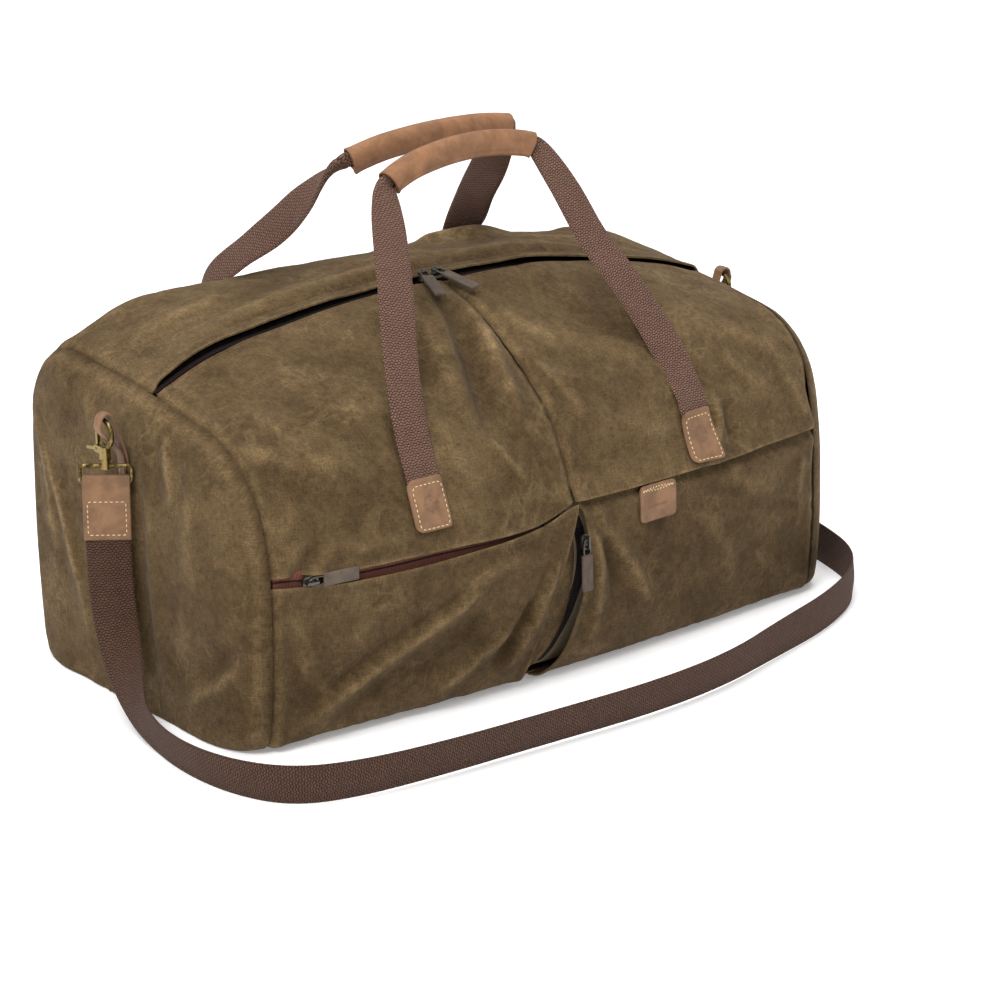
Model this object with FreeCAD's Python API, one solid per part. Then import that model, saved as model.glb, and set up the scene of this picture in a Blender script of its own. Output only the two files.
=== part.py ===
import FreeCAD, Part
import math
import os

from FreeCAD import Vector

# Canvas weekender bag.  Millimetres, +Z up, +X along the bag's length (towards the right end
# seen from the front), front face towards -Y.  The origin is on the ground under the middle.

# ---- driving dimensions --------------------------------------------------------------
HALF_LENGTH = 282.0          # middle of the bag to an end seam
END_BULGE = 24.0             # how far an end panel swells past its seam
SKIN = 3.6                   # canvas, padding and facing together
POCKET_SKIN = 1.6            # single canvas layer of a front pocket
LAYER_GAP = 0.2              # air between two layers of canvas
LINING = 0.8

# Cross-section outlines (y, z), from the front base corner over the top to the back base corner.
END_OUTLINE = [(-143, 0), (-157, 12), (-163, 58), (-164, 112), (-160, 160), (-140, 206), (-101, 233),
               (-50, 242), (0, 249), (60, 253), (112, 251), (143, 232), (152, 195), (154, 120),
               (151, 45), (146, 11), (135, 0)]
MID_OUTLINE = [(-152, 0), (-169, 14), (-178, 58), (-183, 104), (-177, 152), (-150, 210), (-112, 246),
               (-60, 277), (0, 296), (60, 297), (112, 288), (147, 262), (160, 215), (165, 130),
               (162, 50), (156, 13), (143, 0)]
LOFT_STATIONS = 7            # cross-sections from end seam to end seam
CAP_STATIONS = [(0.0, 1.0), (0.58, 0.955), (0.88, 0.87), (1.0, 0.72)]   # share of bulge, scale

BASE_RISE = 4.0              # height of the seam between base and sides
SKIRT = 1.0                  # cut away again, so that the base ends in one plane
BASE_BOARD = (500.0, 262.0, 2.5)

ZIP_Y = -8.0                 # main zip's line
ZIP_FRONT_EDGE = -14.0       # top hem of the front panels
FLAP_FRONT_EDGE = -1.0       # hem of the top flap, just behind the zip
FLAP_REAR_EDGE = 113.5
BACK_TOP_EDGE = 118.0
MAIN_ZIP_HALF = 262.0
TAPE_INSET = (0.8, 1.6)
COIL_WIDTH = 1.4
COIL_INSET = (-0.7, 0.8)
BODY_GAP = 0.3               # air between two pieces that move apart

POCKET_TOP_Z = 131.0         # top edge of the left pocket
UPPER_HEM_Z = 143.0          # lower edge of the upper front panels
POCKET_ZIP_X = (-264.0, -6.0)
CENTRE_SLIT_X = (-3.0, 13.0)
CENTRE_ZIP_Z = (22.0, 130.0)

WEBBING = (32.0, 2.2)        # handle webbing, width and thickness
HANDLE_X = 137.6
PATCH_SIZE = (36.0, 41.0)    # leather patch over each webbing end
PATCH_Z = 173.0
PATCH_CORNER = 6.0
PATCH_LIFT = (0.4, 2.6, 4.8) # webbing's inner face, its outer face, and the patch's outer face
ANCHOR_Z = (159.0, 201.0)
# Half of each handle's path (x, y, z) and the webbing's size there, from its hinge to its grip.
FRONT_LEG = [(137.6, -152.8, 205.4, 32.0, 2.2), (137.0, -138.0, 241.0, 32.0, 2.2),
             (118.0, -104.0, 298.0, 32.0, 2.4), (99.0, -74.0, 344.0, 30.0, 3.0),
             (85.0, -48.0, 377.0, 22.0, 5.0), (73.0, -33.0, 394.0, 16.0, 8.0)]
REAR_LEG = [(137.6, 161.5, 205.4, 32.0, 2.2), (137.2, 160.0, 236.0, 32.0, 2.2),
            (135.5, 153.0, 260.0, 32.0, 2.2), (131.0, 136.0, 284.0, 32.0, 2.2),
            (120.0, 110.0, 308.0, 32.0, 2.2), (107.0, 80.0, 336.0, 32.0, 2.4),
            (97.0, 50.0, 364.0, 30.0, 3.0), (88.0, 25.0, 388.0, 22.0, 5.0),
            (79.0, 8.0, 402.0, 16.0, 8.0)]
GRIP_RISE = 13.0             # how far a grip arches over the line between its ends
GRIP_SECTION = (20.0, 12.5)  # leather sleeve's height and thickness
GRIP_WALL = 1.8
GRIP_STEPS = 8

TAG_BOX = (61.0, 101.0, 119.5, 142.6)
HEM_LIFT = (0.4, 2.4)

STRAP = (35.0, 1.8)          # shoulder strap webbing
TAB = (36.0, 54.0, 5.4)      # leather strap end: width, height, thickness
TAB_BOTTOM = 141.0
HOOK_X = 324.0
HOOK_Y = {"left": -6.0, "right": 13.0}
TAB_TURN = {"left": (0.782, -0.623), "right": (0.0, -1.0)}   # direction across each strap end
WIRE = 1.6                   # radius of the swivel loop's wire
LOOP_Z = (188.0, 201.0)
LOOP_HALF = 21.6
LOOP_CORNER = 3.0
RING_Z = 227.0
RING_R = 10.5
RING_WIRE = 2.0
ANCHOR_BAND = (8.0, 2.2)    # leather anchor loop's width and thickness
ANCHOR_SHIFT = -1.0          # the anchor loop's middle from the hook's middle

# The strap's line from the left end to the right end, with the direction across its width.
STRAP_ROUTE = [
    ((-324, -6, 141), (0.782, -0.623, 0.0)), ((-325, -8, 104), (0.78, -0.62, 0.05)),
    ((-327, -20, 62), (0.66, -0.62, 0.42)), ((-339, -56, 29), (0.25, -0.36, 0.90)),
    ((-352, -100, 19), (-0.20, -0.10, 0.97)), ((-359, -152, 17.7), (-0.30, -0.02, 0.95)),
    ((-352, -205, 17.7), (-0.26, -0.12, 0.96)), ((-328, -248, 17.7), (-0.12, -0.20, 0.97)),
    ((-283, -268, 17.7), (0.0, -0.26, 0.96)), ((-205, -277, 17.7), (0.0, -0.32, 0.95)),
    ((-110, -280, 17.7), (0.0, -0.34, 0.94)), ((-10, -284, 17.7), (0.0, -0.32, 0.95)),
    ((76, -276, 17.7), (0.04, -0.26, 0.96)), ((152, -253, 17.8), (0.03, -0.12, 0.99)),
    ((226, -232, 17.8), (0.0, -0.04, 1.0)), ((286, -202, 17.8), (0.0, 0.0, 1.0)),
    ((321, -164, 17.8), (0.0, 0.0, 1.0)), ((337, -118, 17.8), (0.0, 0.0, 1.0)),
    ((348, -68, 17.8), (0.04, 0.0, 1.0)), ((354, -20, 20), (0.10, -0.20, 0.97)),
    ((349, 8, 44), (0.05, -0.75, 0.66)), ((334, 14, 82), (0.0, -0.97, 0.22)),
    ((325, 13, 118), (0.0, -1.0, 0.04)), ((324, 13, 141), (0.0, -1.0, 0.0))]
ARC_STEPS = 4

FAR = 900.0                  # larger than the bag, for cutting regions
os.makedirs("parts", exist_ok=True)


def save(name, *shapes):
    """Write one node as a STEP file."""
    shape = shapes[0] if len(shapes) == 1 else Part.makeCompound(list(shapes))
    shape.exportStep(f"parts/{name}.step")
    solids = shape.Solids
    print(f"{name}: {len(solids)} solid(s), {shape.Volume / 1000:.2f} cm3, valid {shape.isValid()}")


def box(x0, x1, y0, y1, z0, z1):
    return Part.makeBox(x1 - x0, y1 - y0, z1 - z0, Vector(x0, y0, z0))


def rod(start, direction, radius, length):
    return Part.makeCylinder(radius, length, Vector(*start), Vector(*direction))


def mirror_x(shape):
    return shape.mirror(Vector(0, 0, 0), Vector(1, 0, 0))


# ---- canvas body ---------------------------------------------------------------------
def inset_outline(points, inset):
    """Move an outline's points inwards along their normals; its base stays level."""
    moved = []
    for i, (y, z) in enumerate(points):
        before = points[max(i - 1, 0)]
        after = points[min(i + 1, len(points) - 1)]
        ty, tz = after[0] - before[0], after[1] - before[1]
        if i in (0, len(points) - 1):
            moved.append((y - math.copysign(inset * 0.5, y), inset))
            continue
        size = math.hypot(ty, tz)
        moved.append((y + inset * tz / size, z - inset * ty / size))
    return moved


def outline_at(x, inset):
    """The cross-section's points at one place along the bag."""
    fullness = 1.0 - (x / HALF_LENGTH) ** 2
    pairs = zip(END_OUTLINE, MID_OUTLINE)
    points = [(e[0] + fullness * (m[0] - e[0]), e[1] + fullness * (m[1] - e[1])) for e, m in pairs]
    return inset_outline(points, inset)


def section_wire(x, points, scale=1.0, floor=0.0, skirt=0.0):
    """A closed wire: a smooth curve over the top and a straight base, with a skirt under it if asked."""
    placed = [Vector(x, y * scale, floor + (z - floor) * scale) for y, z in points]
    curve = Part.BSplineCurve()
    curve.interpolate(placed)
    if not skirt:
        return Part.Wire([curve.toShape(), Part.makeLine(placed[-1], placed[0])])
    drop = Vector(0, 0, -skirt)
    base = [placed[-1], placed[-1] + drop, placed[0] + drop, placed[0]]
    return Part.Wire([curve.toShape()] + [Part.makeLine(a, b) for a, b in zip(base, base[1:])])


def barrel(inset):
    """The bag's body from end seam to end seam, moved inwards by inset; the outermost has a skirt."""
    step = 2 * HALF_LENGTH / (LOFT_STATIONS - 1)
    places = [-HALF_LENGTH + i * step for i in range(LOFT_STATIONS)]
    skirt = 0.0 if inset else SKIRT
    return Part.makeLoft([section_wire(x, outline_at(x, inset), skirt=skirt) for x in places], True, False)


def end_cap(inset):
    """The swelling beyond the right end seam, moved inwards by inset."""
    points = outline_at(HALF_LENGTH, inset)
    reach = END_BULGE - inset
    wires = [section_wire(HALF_LENGTH + share * reach, points, scale, inset)
             for share, scale in CAP_STATIONS]
    return Part.makeLoft(wires, True, False)


BARRELS = {}


def layer(outer, inner):
    """The body's shell between two insets."""
    for inset in (outer, inner):
        if inset not in BARRELS:
            BARRELS[inset] = barrel(inset)
    return BARRELS[outer].cut(BARRELS[inner])


def build_body():
    """The canvas panels, base board and lining."""
    wall = layer(0.0, SKIN)
    save("base_panel", wall.common(box(-FAR, FAR, -FAR, FAR, 0, BASE_RISE)))
    save("back_panel", wall.common(box(-FAR, FAR, BACK_TOP_EDGE, FAR, BASE_RISE, FAR)))
    save("top_flap", wall.common(
        box(BODY_GAP - HALF_LENGTH, HALF_LENGTH - BODY_GAP, FLAP_FRONT_EDGE, FLAP_REAR_EDGE, 150, FAR)))

    front = wall.common(box(-FAR, FAR, -FAR, ZIP_FRONT_EDGE, BASE_RISE, FAR))
    slit_left, slit_right = CENTRE_SLIT_X
    outer_skin = layer(-6.0, POCKET_SKIN + LAYER_GAP)
    front = front.cut(outer_skin.common(box(-FAR, FAR, -FAR, -60, -1, UPPER_HEM_Z)))
    middle = 0.5 * (slit_left + slit_right)
    save("front_panel_left", front.common(box(-FAR, middle, -FAR, 0, 0, FAR)))
    save("front_panel_right", front.common(box(middle, FAR, -FAR, 0, 0, FAR)))

    pocket = layer(0.0, POCKET_SKIN)
    save("front_pocket_left", pocket.common(box(-FAR, slit_left, -FAR, -60, BASE_RISE, POCKET_TOP_Z)))
    save("front_pocket_right", pocket.common(box(slit_right, FAR, -FAR, -60, BASE_RISE, UPPER_HEM_Z - 1)))
    low, high = CENTRE_ZIP_Z
    slot = box(middle - 6, middle + 6, -FAR, -60, low, high)
    gusset = layer(*TAPE_INSET).common(
        box(slit_left, slit_right, -FAR, -60, BASE_RISE, UPPER_HEM_Z - 1))
    save("centre_gusset", gusset.cut(slot))
    hem = layer(-HEM_LIFT[1], -HEM_LIFT[0])
    save("front_hem", hem.common(
        box(slit_right, HALF_LENGTH - 1, -FAR, -60, UPPER_HEM_Z, UPPER_HEM_Z + 15)))

    cap = end_cap(0.0).cut(end_cap(SKIN))
    save("end_panel_right", cap)
    save("end_panel_left", mirror_x(cap))

    tub = layer(SKIN + LAYER_GAP, SKIN + LAYER_GAP + LINING)
    save("lining", tub.common(box(-FAR, FAR, -FAR, FAR, 0, 200)))
    length, width, thick = BASE_BOARD
    board = box(-length / 2, length / 2, -width / 2, width / 2, 0, thick)
    board = board.makeFillet(20, [e for e in board.Edges if e.Length < thick + 0.1])
    board.translate(Vector(0, 0, SKIN + LINING + 1.0))
    save("base_board", board)


# ---- zips ----------------------------------------------------------------------------
SLIDER = (13.0, 9.0, 2.0)       # length, width and plate thickness
PLATE_LIFT = 1.2                 # plate's underside over the canvas face
BRIDGE_TOP = 6.8                 # bridge's top over the plate's underside
BRIDGE_BAR = 1.4
BRIDGE_HALF = 5.0
PULL_TAB = (34.0, 10.0, 2.0)
LINK = 0.6                       # radius of a pull's wire link
LINK_REACH = 9.0
LINK_BACK = 2.6
PULL_DIP = 0.22                  # slope of a resting main pull
LINK_ROOM = 0.75                 # air between a hanging link and the bridge bar
ZIP_MEET_X = -12.0               # where the two main sliders meet
POCKET_SLIDER_X = -250.0
POCKET_ZIP_Z = 0.5 * (POCKET_TOP_Z + UPPER_HEM_Z)
CENTRE_SLIDER_Z = 116.0
# Arcs that the sliders follow: each one's outermost point, and its rise or its middle and radius.
ARCH_TOP, ARCH_RISE = 295.1, 46.0
FRONT_FACE, FRONT_RISE = 181.3, 17.8
ARCH_RADIUS = (HALF_LENGTH ** 2 + ARCH_RISE ** 2) / (2 * ARCH_RISE)
FRONT_RADIUS = (HALF_LENGTH ** 2 + FRONT_RISE ** 2) / (2 * FRONT_RISE)
CENTRE_FACE, CENTRE_MIDDLE_Z, CENTRE_RADIUS = 183.5, 107.0, 260.0


def seated(shape, position, travel, outward):
    """Turn a piece made along +X, with +Z outward, to lie along travel at position."""
    along = Vector(*travel).normalize()
    side = Vector(*outward).cross(along).normalize()
    up = along.cross(side)
    x, y, z = position
    matrix = FreeCAD.Matrix(along.x, side.x, up.x, x, along.y, side.y, up.y, y,
                            along.z, side.z, up.z, z, 0, 0, 0, 1)
    return shape.transformed(matrix)


def slider():
    """A zip slider on +X: a plate over the coils and a bridge for the pull."""
    length, width, thick = SLIDER
    top = PLATE_LIFT + thick
    bar_top = PLATE_LIFT + BRIDGE_TOP
    plate = box(-length / 2, length / 2, -width / 2, width / 2, PLATE_LIFT, top)
    plate = plate.makeFillet(3.0, [e for e in plate.Edges if e.Length < thick + 0.1])
    bridge = box(-BRIDGE_HALF, BRIDGE_HALF, -1, 1, top - 0.4, bar_top)
    hole = box(1.6 - BRIDGE_HALF, BRIDGE_HALF - 1.6, -3, 3, top, bar_top - BRIDGE_BAR)
    return plate.fuse(bridge.cut(hole)).removeSplitter()


def pull_tab(height):
    """The leather tab, folded round the far bar of its wire link."""
    length, width, thick = PULL_TAB
    start = LINK_REACH - 2.2
    tab = box(start, start + length, -width / 2, width / 2, height - thick / 2, height + thick / 2)
    return tab.makeFillet(1.5, [e for e in tab.Edges if e.Length < thick + 0.1])


def inline_pull():
    """A pull along +X that turns on its link's bar, which passes under the bridge."""
    height = PLATE_LIFT + SLIDER[2] + 1.1
    half = 3.4
    link = rod((0, -half, height), (0, 1, 0), LINK, 2 * half)
    for side in (-half, half):
        link = link.fuse(rod((0, side, height), (1, 0, 0), LINK, LINK_REACH - 1.5))
    return link, pull_tab(height)


def hanging_pull():
    """A pull along +X whose link goes round the bridge's bar, which runs along Y here."""
    height = PLATE_LIFT + BRIDGE_TOP - BRIDGE_BAR / 2
    drop = BRIDGE_BAR / 2 + LINK + LINK_ROOM
    link = rod((-LINK_BACK, 0, height - drop), (0, 0, 1), LINK, 2 * drop)
    for level in (height - drop, height + drop):
        link = link.fuse(rod((-LINK_BACK, 0, level), (1, 0, 0), LINK, LINK_REACH + LINK_BACK))
    link = link.fuse(rod((LINK_REACH, 0, height - drop), (0, 0, 1), LINK, drop - 1.0))
    link = link.fuse(rod((LINK_REACH, 0, height + 1.0), (0, 0, 1), LINK, drop - 1.0))
    return link, pull_tab(height)


def tape_pair(region, low, high):
    """Each half of a zip, as its tape and its coil; region(a, b) is a box across the zip."""
    centre = 0.5 * (low + high)
    tape, coil = layer(*TAPE_INSET), layer(*COIL_INSET)
    halves = []
    for tape_span, coil_span in (((low, centre - BODY_GAP), (centre - BODY_GAP - COIL_WIDTH, centre - BODY_GAP)),
                                 ((centre + BODY_GAP, high), (centre + BODY_GAP, centre + BODY_GAP + COIL_WIDTH))):
        halves.append((tape.common(region(*tape_span)), coil.common(region(*coil_span))))
    return halves


def build_main_zip():
    """The long zip over the top, with two sliders that meet near the middle."""
    def region(near, far):
        return box(-MAIN_ZIP_HALF, MAIN_ZIP_HALF, near, far, 150, FAR)

    front, rear = tape_pair(region, ZIP_FRONT_EDGE, 2 * ZIP_Y - ZIP_FRONT_EDGE)
    save("main_zip_front", *front)
    save("main_zip_rear", *rear)
    for side, name, lean in ((-1, "left", -0.30), (1, "right", 0.26)):
        x = ZIP_MEET_X + side * (SLIDER[0] / 2 + BODY_GAP)
        rise = math.sqrt(ARCH_RADIUS ** 2 - x ** 2)
        place = (x, ZIP_Y, ARCH_TOP - ARCH_RADIUS + rise)
        save(f"main_slider_{name}", seated(slider(), place, (rise, 0, -x), (x, 0, rise)))
        link, tab = hanging_pull()
        bar = Vector(0, 0, PLATE_LIFT + BRIDGE_TOP - BRIDGE_BAR / 2)
        for piece in (link, tab):
            piece.translate(-bar)
        middle = (place[0], place[1], place[2] + bar.z)
        save(f"main_pull_{name}",
             *[seated(piece, middle, (lean, -1, -PULL_DIP), (0, -PULL_DIP, 1)) for piece in (link, tab)])


def build_pocket_zip():
    """The left pocket's zip, closed towards the left end."""
    start, end = POCKET_ZIP_X

    def region(near, far):
        return box(start, end, -FAR, -60, near, far)

    halves = tape_pair(region, POCKET_TOP_Z, UPPER_HEM_Z)
    save("pocket_zip", *[piece for half in halves for piece in half])
    x = POCKET_SLIDER_X
    depth = math.sqrt(FRONT_RADIUS ** 2 - x ** 2)
    place = (x, FRONT_RADIUS - FRONT_FACE - depth, POCKET_ZIP_Z)
    travel, outward = (depth, x, 0), (x, -depth, 0)
    save("pocket_slider", seated(slider(), place, travel, outward))
    save("pocket_pull", *[seated(piece, place, travel, outward) for piece in inline_pull()])


def build_centre_zip():
    """The upright zip in the gusset between the two front pockets."""
    low, high = CENTRE_ZIP_Z
    middle = 0.5 * sum(CENTRE_SLIT_X)

    def region(near, far):
        return box(near, far, -FAR, -60, low, high)

    halves = tape_pair(region, middle - 6, middle + 6)
    save("centre_zip", *[piece for half in halves for piece in half])
    z = CENTRE_SLIDER_Z - CENTRE_MIDDLE_Z
    depth = math.sqrt(CENTRE_RADIUS ** 2 - z ** 2)
    place = (middle, CENTRE_RADIUS - CENTRE_FACE - depth, CENTRE_SLIDER_Z)
    travel, outward = (0, -z, -depth), (0, -depth, z)
    save("centre_slider", seated(slider(), place, travel, outward))
    save("centre_pull", *[seated(piece, place, travel, outward) for piece in inline_pull()])


# ---- handles -------------------------------------------------------------------------
def ribbon(stations):
    """A solid through rectangles given as (middle, width direction, normal, width, thickness)."""
    wires = []
    for middle, across, normal, width, thick in stations:
        half_w = Vector(across).normalize() * (width / 2)
        half_t = Vector(normal).normalize() * (thick / 2)
        corners = [middle + half_w + half_t, middle - half_w + half_t,
                   middle - half_w - half_t, middle + half_w - half_t]
        wires.append(Part.makePolygon(corners + corners[:1]))
    return Part.makeLoft(wires, True, True)


def tangents(points):
    """The direction along a chain of points, at each of them."""
    ends = [points[0]] + points + [points[-1]]
    return [(after - before).normalize() for before, after in zip(ends, ends[2:])]


def handle_path(leg):
    """Every station of one handle: up one leg, along the grip, and down the other leg."""
    grip_x, grip_y, grip_z, width, thick = leg[-1]
    rows = list(leg)
    for i in range(1, GRIP_STEPS):
        share = i / GRIP_STEPS
        rise = GRIP_RISE * 4 * share * (1 - share)
        rows.append((grip_x * (1 - 2 * share), grip_y, grip_z + rise, width, thick))
    rows += [(-x, y, z, w, t) for x, y, z, w, t in reversed(leg)]
    points = [Vector(x, y, z) for x, y, z, w, t in rows]
    stations = []
    for row, point, along in zip(rows, points, tangents(points)):
        normal = (Vector(0, 1, 0) - along * along.y).normalize()
        stations.append((point, along.cross(normal), normal, row[3], row[4]))
    return stations


def rounded_prism(x, z, width, height, corner, low, high):
    """A rounded rectangle facing along Y, from y = low to y = high."""
    prism = box(x - width / 2, x + width / 2, low, high, z - height / 2, z + height / 2)
    return prism.makeFillet(corner, [e for e in prism.Edges if abs(e.Length - (high - low)) < 0.1])


def build_handles():
    """Two handles: webbing loops, leather grips, sewn lower ends and patches."""
    webbing = layer(-PATCH_LIFT[1], -PATCH_LIFT[0])
    leather = layer(-PATCH_LIFT[2], -PATCH_LIFT[1])
    patches = []
    for name, leg, low, high in (("front", FRONT_LEG, -FAR, -60), ("rear", REAR_LEG, 60, FAR)):
        stations = handle_path(leg)
        save(f"handle_webbing_{name}", ribbon(stations))
        first = len(leg) - 1
        sleeve = stations[first:first + GRIP_STEPS + 1]
        height, thick = GRIP_SECTION
        outside = ribbon([(p, across, normal, height, thick) for p, across, normal, w, t in sleeve])
        inside = ribbon([(p, across, normal, height - 2 * GRIP_WALL, thick - 2 * GRIP_WALL)
                         for p, across, normal, w, t in sleeve])
        save(f"handle_grip_{name}", outside.cut(inside))
        ends = []
        for x in (-HANDLE_X, HANDLE_X):
            half = WEBBING[0] / 2
            ends.append(webbing.common(box(x - half, x + half, low, high, *ANCHOR_Z)))
            patches.append(leather.common(
                rounded_prism(x, PATCH_Z, *PATCH_SIZE, PATCH_CORNER, low, high)))
        save(f"handle_ends_{name}", *ends)
    save("handle_patches", *patches)
    left, right, bottom, top = TAG_BOX
    tag = rounded_prism((left + right) / 2, (bottom + top) / 2, right - left, top - bottom, 3, -FAR, -60)
    save("leather_tag", layer(-HEM_LIFT[1], -HEM_LIFT[0]).common(tag))


# ---- shoulder strap ------------------------------------------------------------------
def rounded_route():
    """Straight runs joined by tangent arcs through STRAP_ROUTE, as (point, width direction)."""
    points = [Vector(*p) for p, across in STRAP_ROUTE]
    widths = [Vector(*across) for p, across in STRAP_ROUTE]
    out = [(points[0], widths[0])]
    radii = []
    for i in range(1, len(points) - 1):
        into = points[i] - points[i - 1]
        away = points[i + 1] - points[i]
        turn = into.getAngle(away)
        reach = 0.45 * min(into.Length, away.Length)
        radii.append(reach / math.tan(turn / 2))
        into.normalize()
        away.normalize()
        bisector = (away - into).normalize()
        centre = points[i] + bisector * (radii[-1] / math.cos(turn / 2))
        axis = into.cross(away).normalize()
        spoke = points[i] - into * reach - centre
        for step in range(ARC_STEPS + 1):
            turned = FreeCAD.Rotation(axis, math.degrees(turn) * step / ARC_STEPS).multVec(spoke)
            share = step / ARC_STEPS
            before = widths[i - 1] * 0.22 + widths[i] * 0.78
            after = widths[i + 1] * 0.22 + widths[i] * 0.78
            out.append((centre + turned, before * (1 - share) + after * share))
    out.append((points[-1], widths[-1]))
    print("strap radii", [round(r) for r in radii])
    return out


def build_strap():
    """The free webbing of the shoulder strap and its two leather ends."""
    route = rounded_route()
    points = [p for p, across in route]
    width, thick = STRAP
    stations = []
    for (point, across), along in zip(route, tangents(points)):
        square = (across - along * across.dot(along)).normalize()
        stations.append((point, square, along.cross(square), width, thick))
    strap = ribbon(stations)
    length = sum((b - a).Length for a, b in zip(points, points[1:]))
    print(f"strap: length {length:.0f}, volume {strap.Volume:.0f}, "
          f"section times length {width * thick * length:.0f}, lowest {strap.BoundBox.ZMin:.2f}")
    save("shoulder_strap", strap)

    wide, tall, deep = TAB
    for side, name in ((-1, "left"), (1, "right")):
        tab = box(-wide / 2, wide / 2, -deep / 2, deep / 2, 0, tall)
        tab = tab.cut(rod((-wide, 0, LOOP_Z[0] - TAB_BOTTOM), (1, 0, 0), WIRE + 0.4, 2 * wide))
        across = TAB_TURN[name]
        save(f"strap_tab_{name}",
             seated(tab, (side * HOOK_X, HOOK_Y[name], TAB_BOTTOM), (*across, 0), (0, 0, 1)))


# ---- swivel hooks --------------------------------------------------------------------
COLLAR = (3.4, 198.6, 205.6)     # radius, bottom and top of the swivel's collar
STUD = (1.6, 210.0)
STUD_ROOM = 0.05
SHANK = (3.3, 4.6, 206.0, 216.6) # half depth, half width, bottom and top
GATE_PIVOT = (8.0, 213.6)        # from the hook's middle along Y, and height
GATE_TIP = (8.8, 230.6)
LEVER_TIP = (22.0, 211.0)
GATE_HALF = 1.3
PIN = 1.0
GATE_SIDES = (-2.0, 0.6)
CHEEKS = (-3.3, 3.3)
EAR_INNER = 2.2


def bar(a, b, half_width, x0, x1):
    """A bar in a plane facing along X, from a to b (y, z), with rounded ends."""
    start, end = Vector(x0, *a), Vector(x0, *b)
    along = (end - start).normalize()
    side = along.cross(Vector(1, 0, 0)) * half_width
    p1, p2, p3, p4 = start + side, end + side, end - side, start - side
    edges = [Part.makeLine(p1, p2), Part.Arc(p2, end + along * half_width, p3).toShape(),
             Part.makeLine(p3, p4), Part.Arc(p4, start - along * half_width, p1).toShape()]
    return Part.Face(Part.Wire(edges)).extrude(Vector(x1 - x0, 0, 0))


def swivel_loop():
    """The wire loop in the strap's end, with the swivel's collar and stud, in the plane of X and Z."""
    low, high = LOOP_Z
    half = LOOP_HALF - WIRE
    straight = half - LOOP_CORNER
    circle = Part.Face(Part.Wire(Part.makeCircle(WIRE, Vector(straight, 0, low), Vector(1, 0, 0))))
    bend = circle.revolve(Vector(straight, 0, low + LOOP_CORNER), Vector(0, 1, 0), -90)
    upper_bend = bend.mirror(Vector(0, 0, (low + high) / 2), Vector(0, 0, 1))
    side = rod((half, 0, low + LOOP_CORNER), (0, 0, 1), WIRE, high - low - 2 * LOOP_CORNER)
    pieces = [bend, upper_bend, side]
    pieces += [mirror_x(piece) for piece in pieces]
    pieces.append(rod((-straight, 0, high), (1, 0, 0), WIRE, 2 * straight))
    pieces.append(rod((0, 0, COLLAR[1]), (0, 0, 1), COLLAR[0], COLLAR[2] - COLLAR[1]))
    pieces.append(rod((0, 0, COLLAR[2] - 1), (0, 0, 1), STUD[0], STUD[1] - COLLAR[2] + 1))
    lower = rod((-straight, 0, low), (1, 0, 0), WIRE, 2 * straight)
    return lower.fuse(pieces).removeSplitter()


def hook_body():
    """The hook in the plane of Y and Z: shank, ring and the two ears that hold the gate."""
    depth, half, bottom, top = SHANK
    shank = box(-depth, depth, -half, half, bottom, top)
    shank = shank.makeFillet(2.0, [e for e in shank.Edges if e.Length > top - bottom - 0.1])
    ears = bar((0, GATE_PIVOT[1]), GATE_PIVOT, 2.9, *CHEEKS)
    profile = Part.Face(Part.Wire(Part.makeCircle(RING_WIRE, Vector(0, RING_R, RING_Z), Vector(0, 0, 1))))
    profile.rotate(Vector(0, 0, RING_Z), Vector(1, 0, 0), 38)
    ring = profile.revolve(Vector(0, 0, RING_Z), Vector(1, 0, 0), 262)
    body = shank.fuse([ears, ring])
    gap = box(-EAR_INNER, EAR_INNER, 4.6, 30, bottom - 1, RING_Z - RING_R + 6)
    body = body.cut(gap)
    body = body.cut(rod((0, 0, bottom - 1), (0, 0, 1), STUD[0] + STUD_ROOM, STUD[1] - bottom + 1.5))
    return body.cut(rod((-9, *GATE_PIVOT), (1, 0, 0), PIN, 18)).removeSplitter()


def hook_gate():
    """The sprung gate that closes the ring, with its thumb lever."""
    gate = bar(GATE_PIVOT, GATE_TIP, GATE_HALF, *GATE_SIDES)
    lever = bar(GATE_PIVOT, LEVER_TIP, GATE_HALF, *GATE_SIDES)
    boss = rod((GATE_SIDES[0], *GATE_PIVOT), (1, 0, 0), 2.4, GATE_SIDES[1] - GATE_SIDES[0])
    gate = gate.fuse([lever, boss])
    return gate.cut(rod((-9, *GATE_PIVOT), (1, 0, 0), PIN + STUD_ROOM, 18)).removeSplitter()


def gate_spring():
    """Three turns of fine wire round the gate's pin."""
    turns = [Part.makeTorus(1.55, 0.25, Vector(x, *GATE_PIVOT), Vector(1, 0, 0)) for x in (0.95, 1.4, 1.85)]
    return Part.makeCompound(turns)


def anchor_loop():
    """The leather loop sewn to the end panel, folded round the hook's ring; made for the right end."""
    width, thick = ANCHOR_BAND
    tip_z, reach = RING_Z + RING_R, 5.5
    foot = HALF_LENGTH + END_BULGE + thick / 2 - 0.1
    chain = [Vector(foot, 0, 183), Vector(foot + 0.3, 0, 206)]
    for i in range(7):
        angle = math.pi * (1 - i / 6)
        chain.append(Vector(HOOK_X + reach * math.cos(angle), 0, tip_z + reach * math.sin(angle)))
    chain += [Vector(HOOK_X + 5.2, 0, 230), Vector(313.2, 0, 212), Vector(foot + thick + 0.6, 0, 198)]
    across = Vector(0, 1, 0)
    stations = [(p, across, t.cross(across), width, thick) for p, t in zip(chain, tangents(chain))]
    return ribbon(stations)


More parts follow.
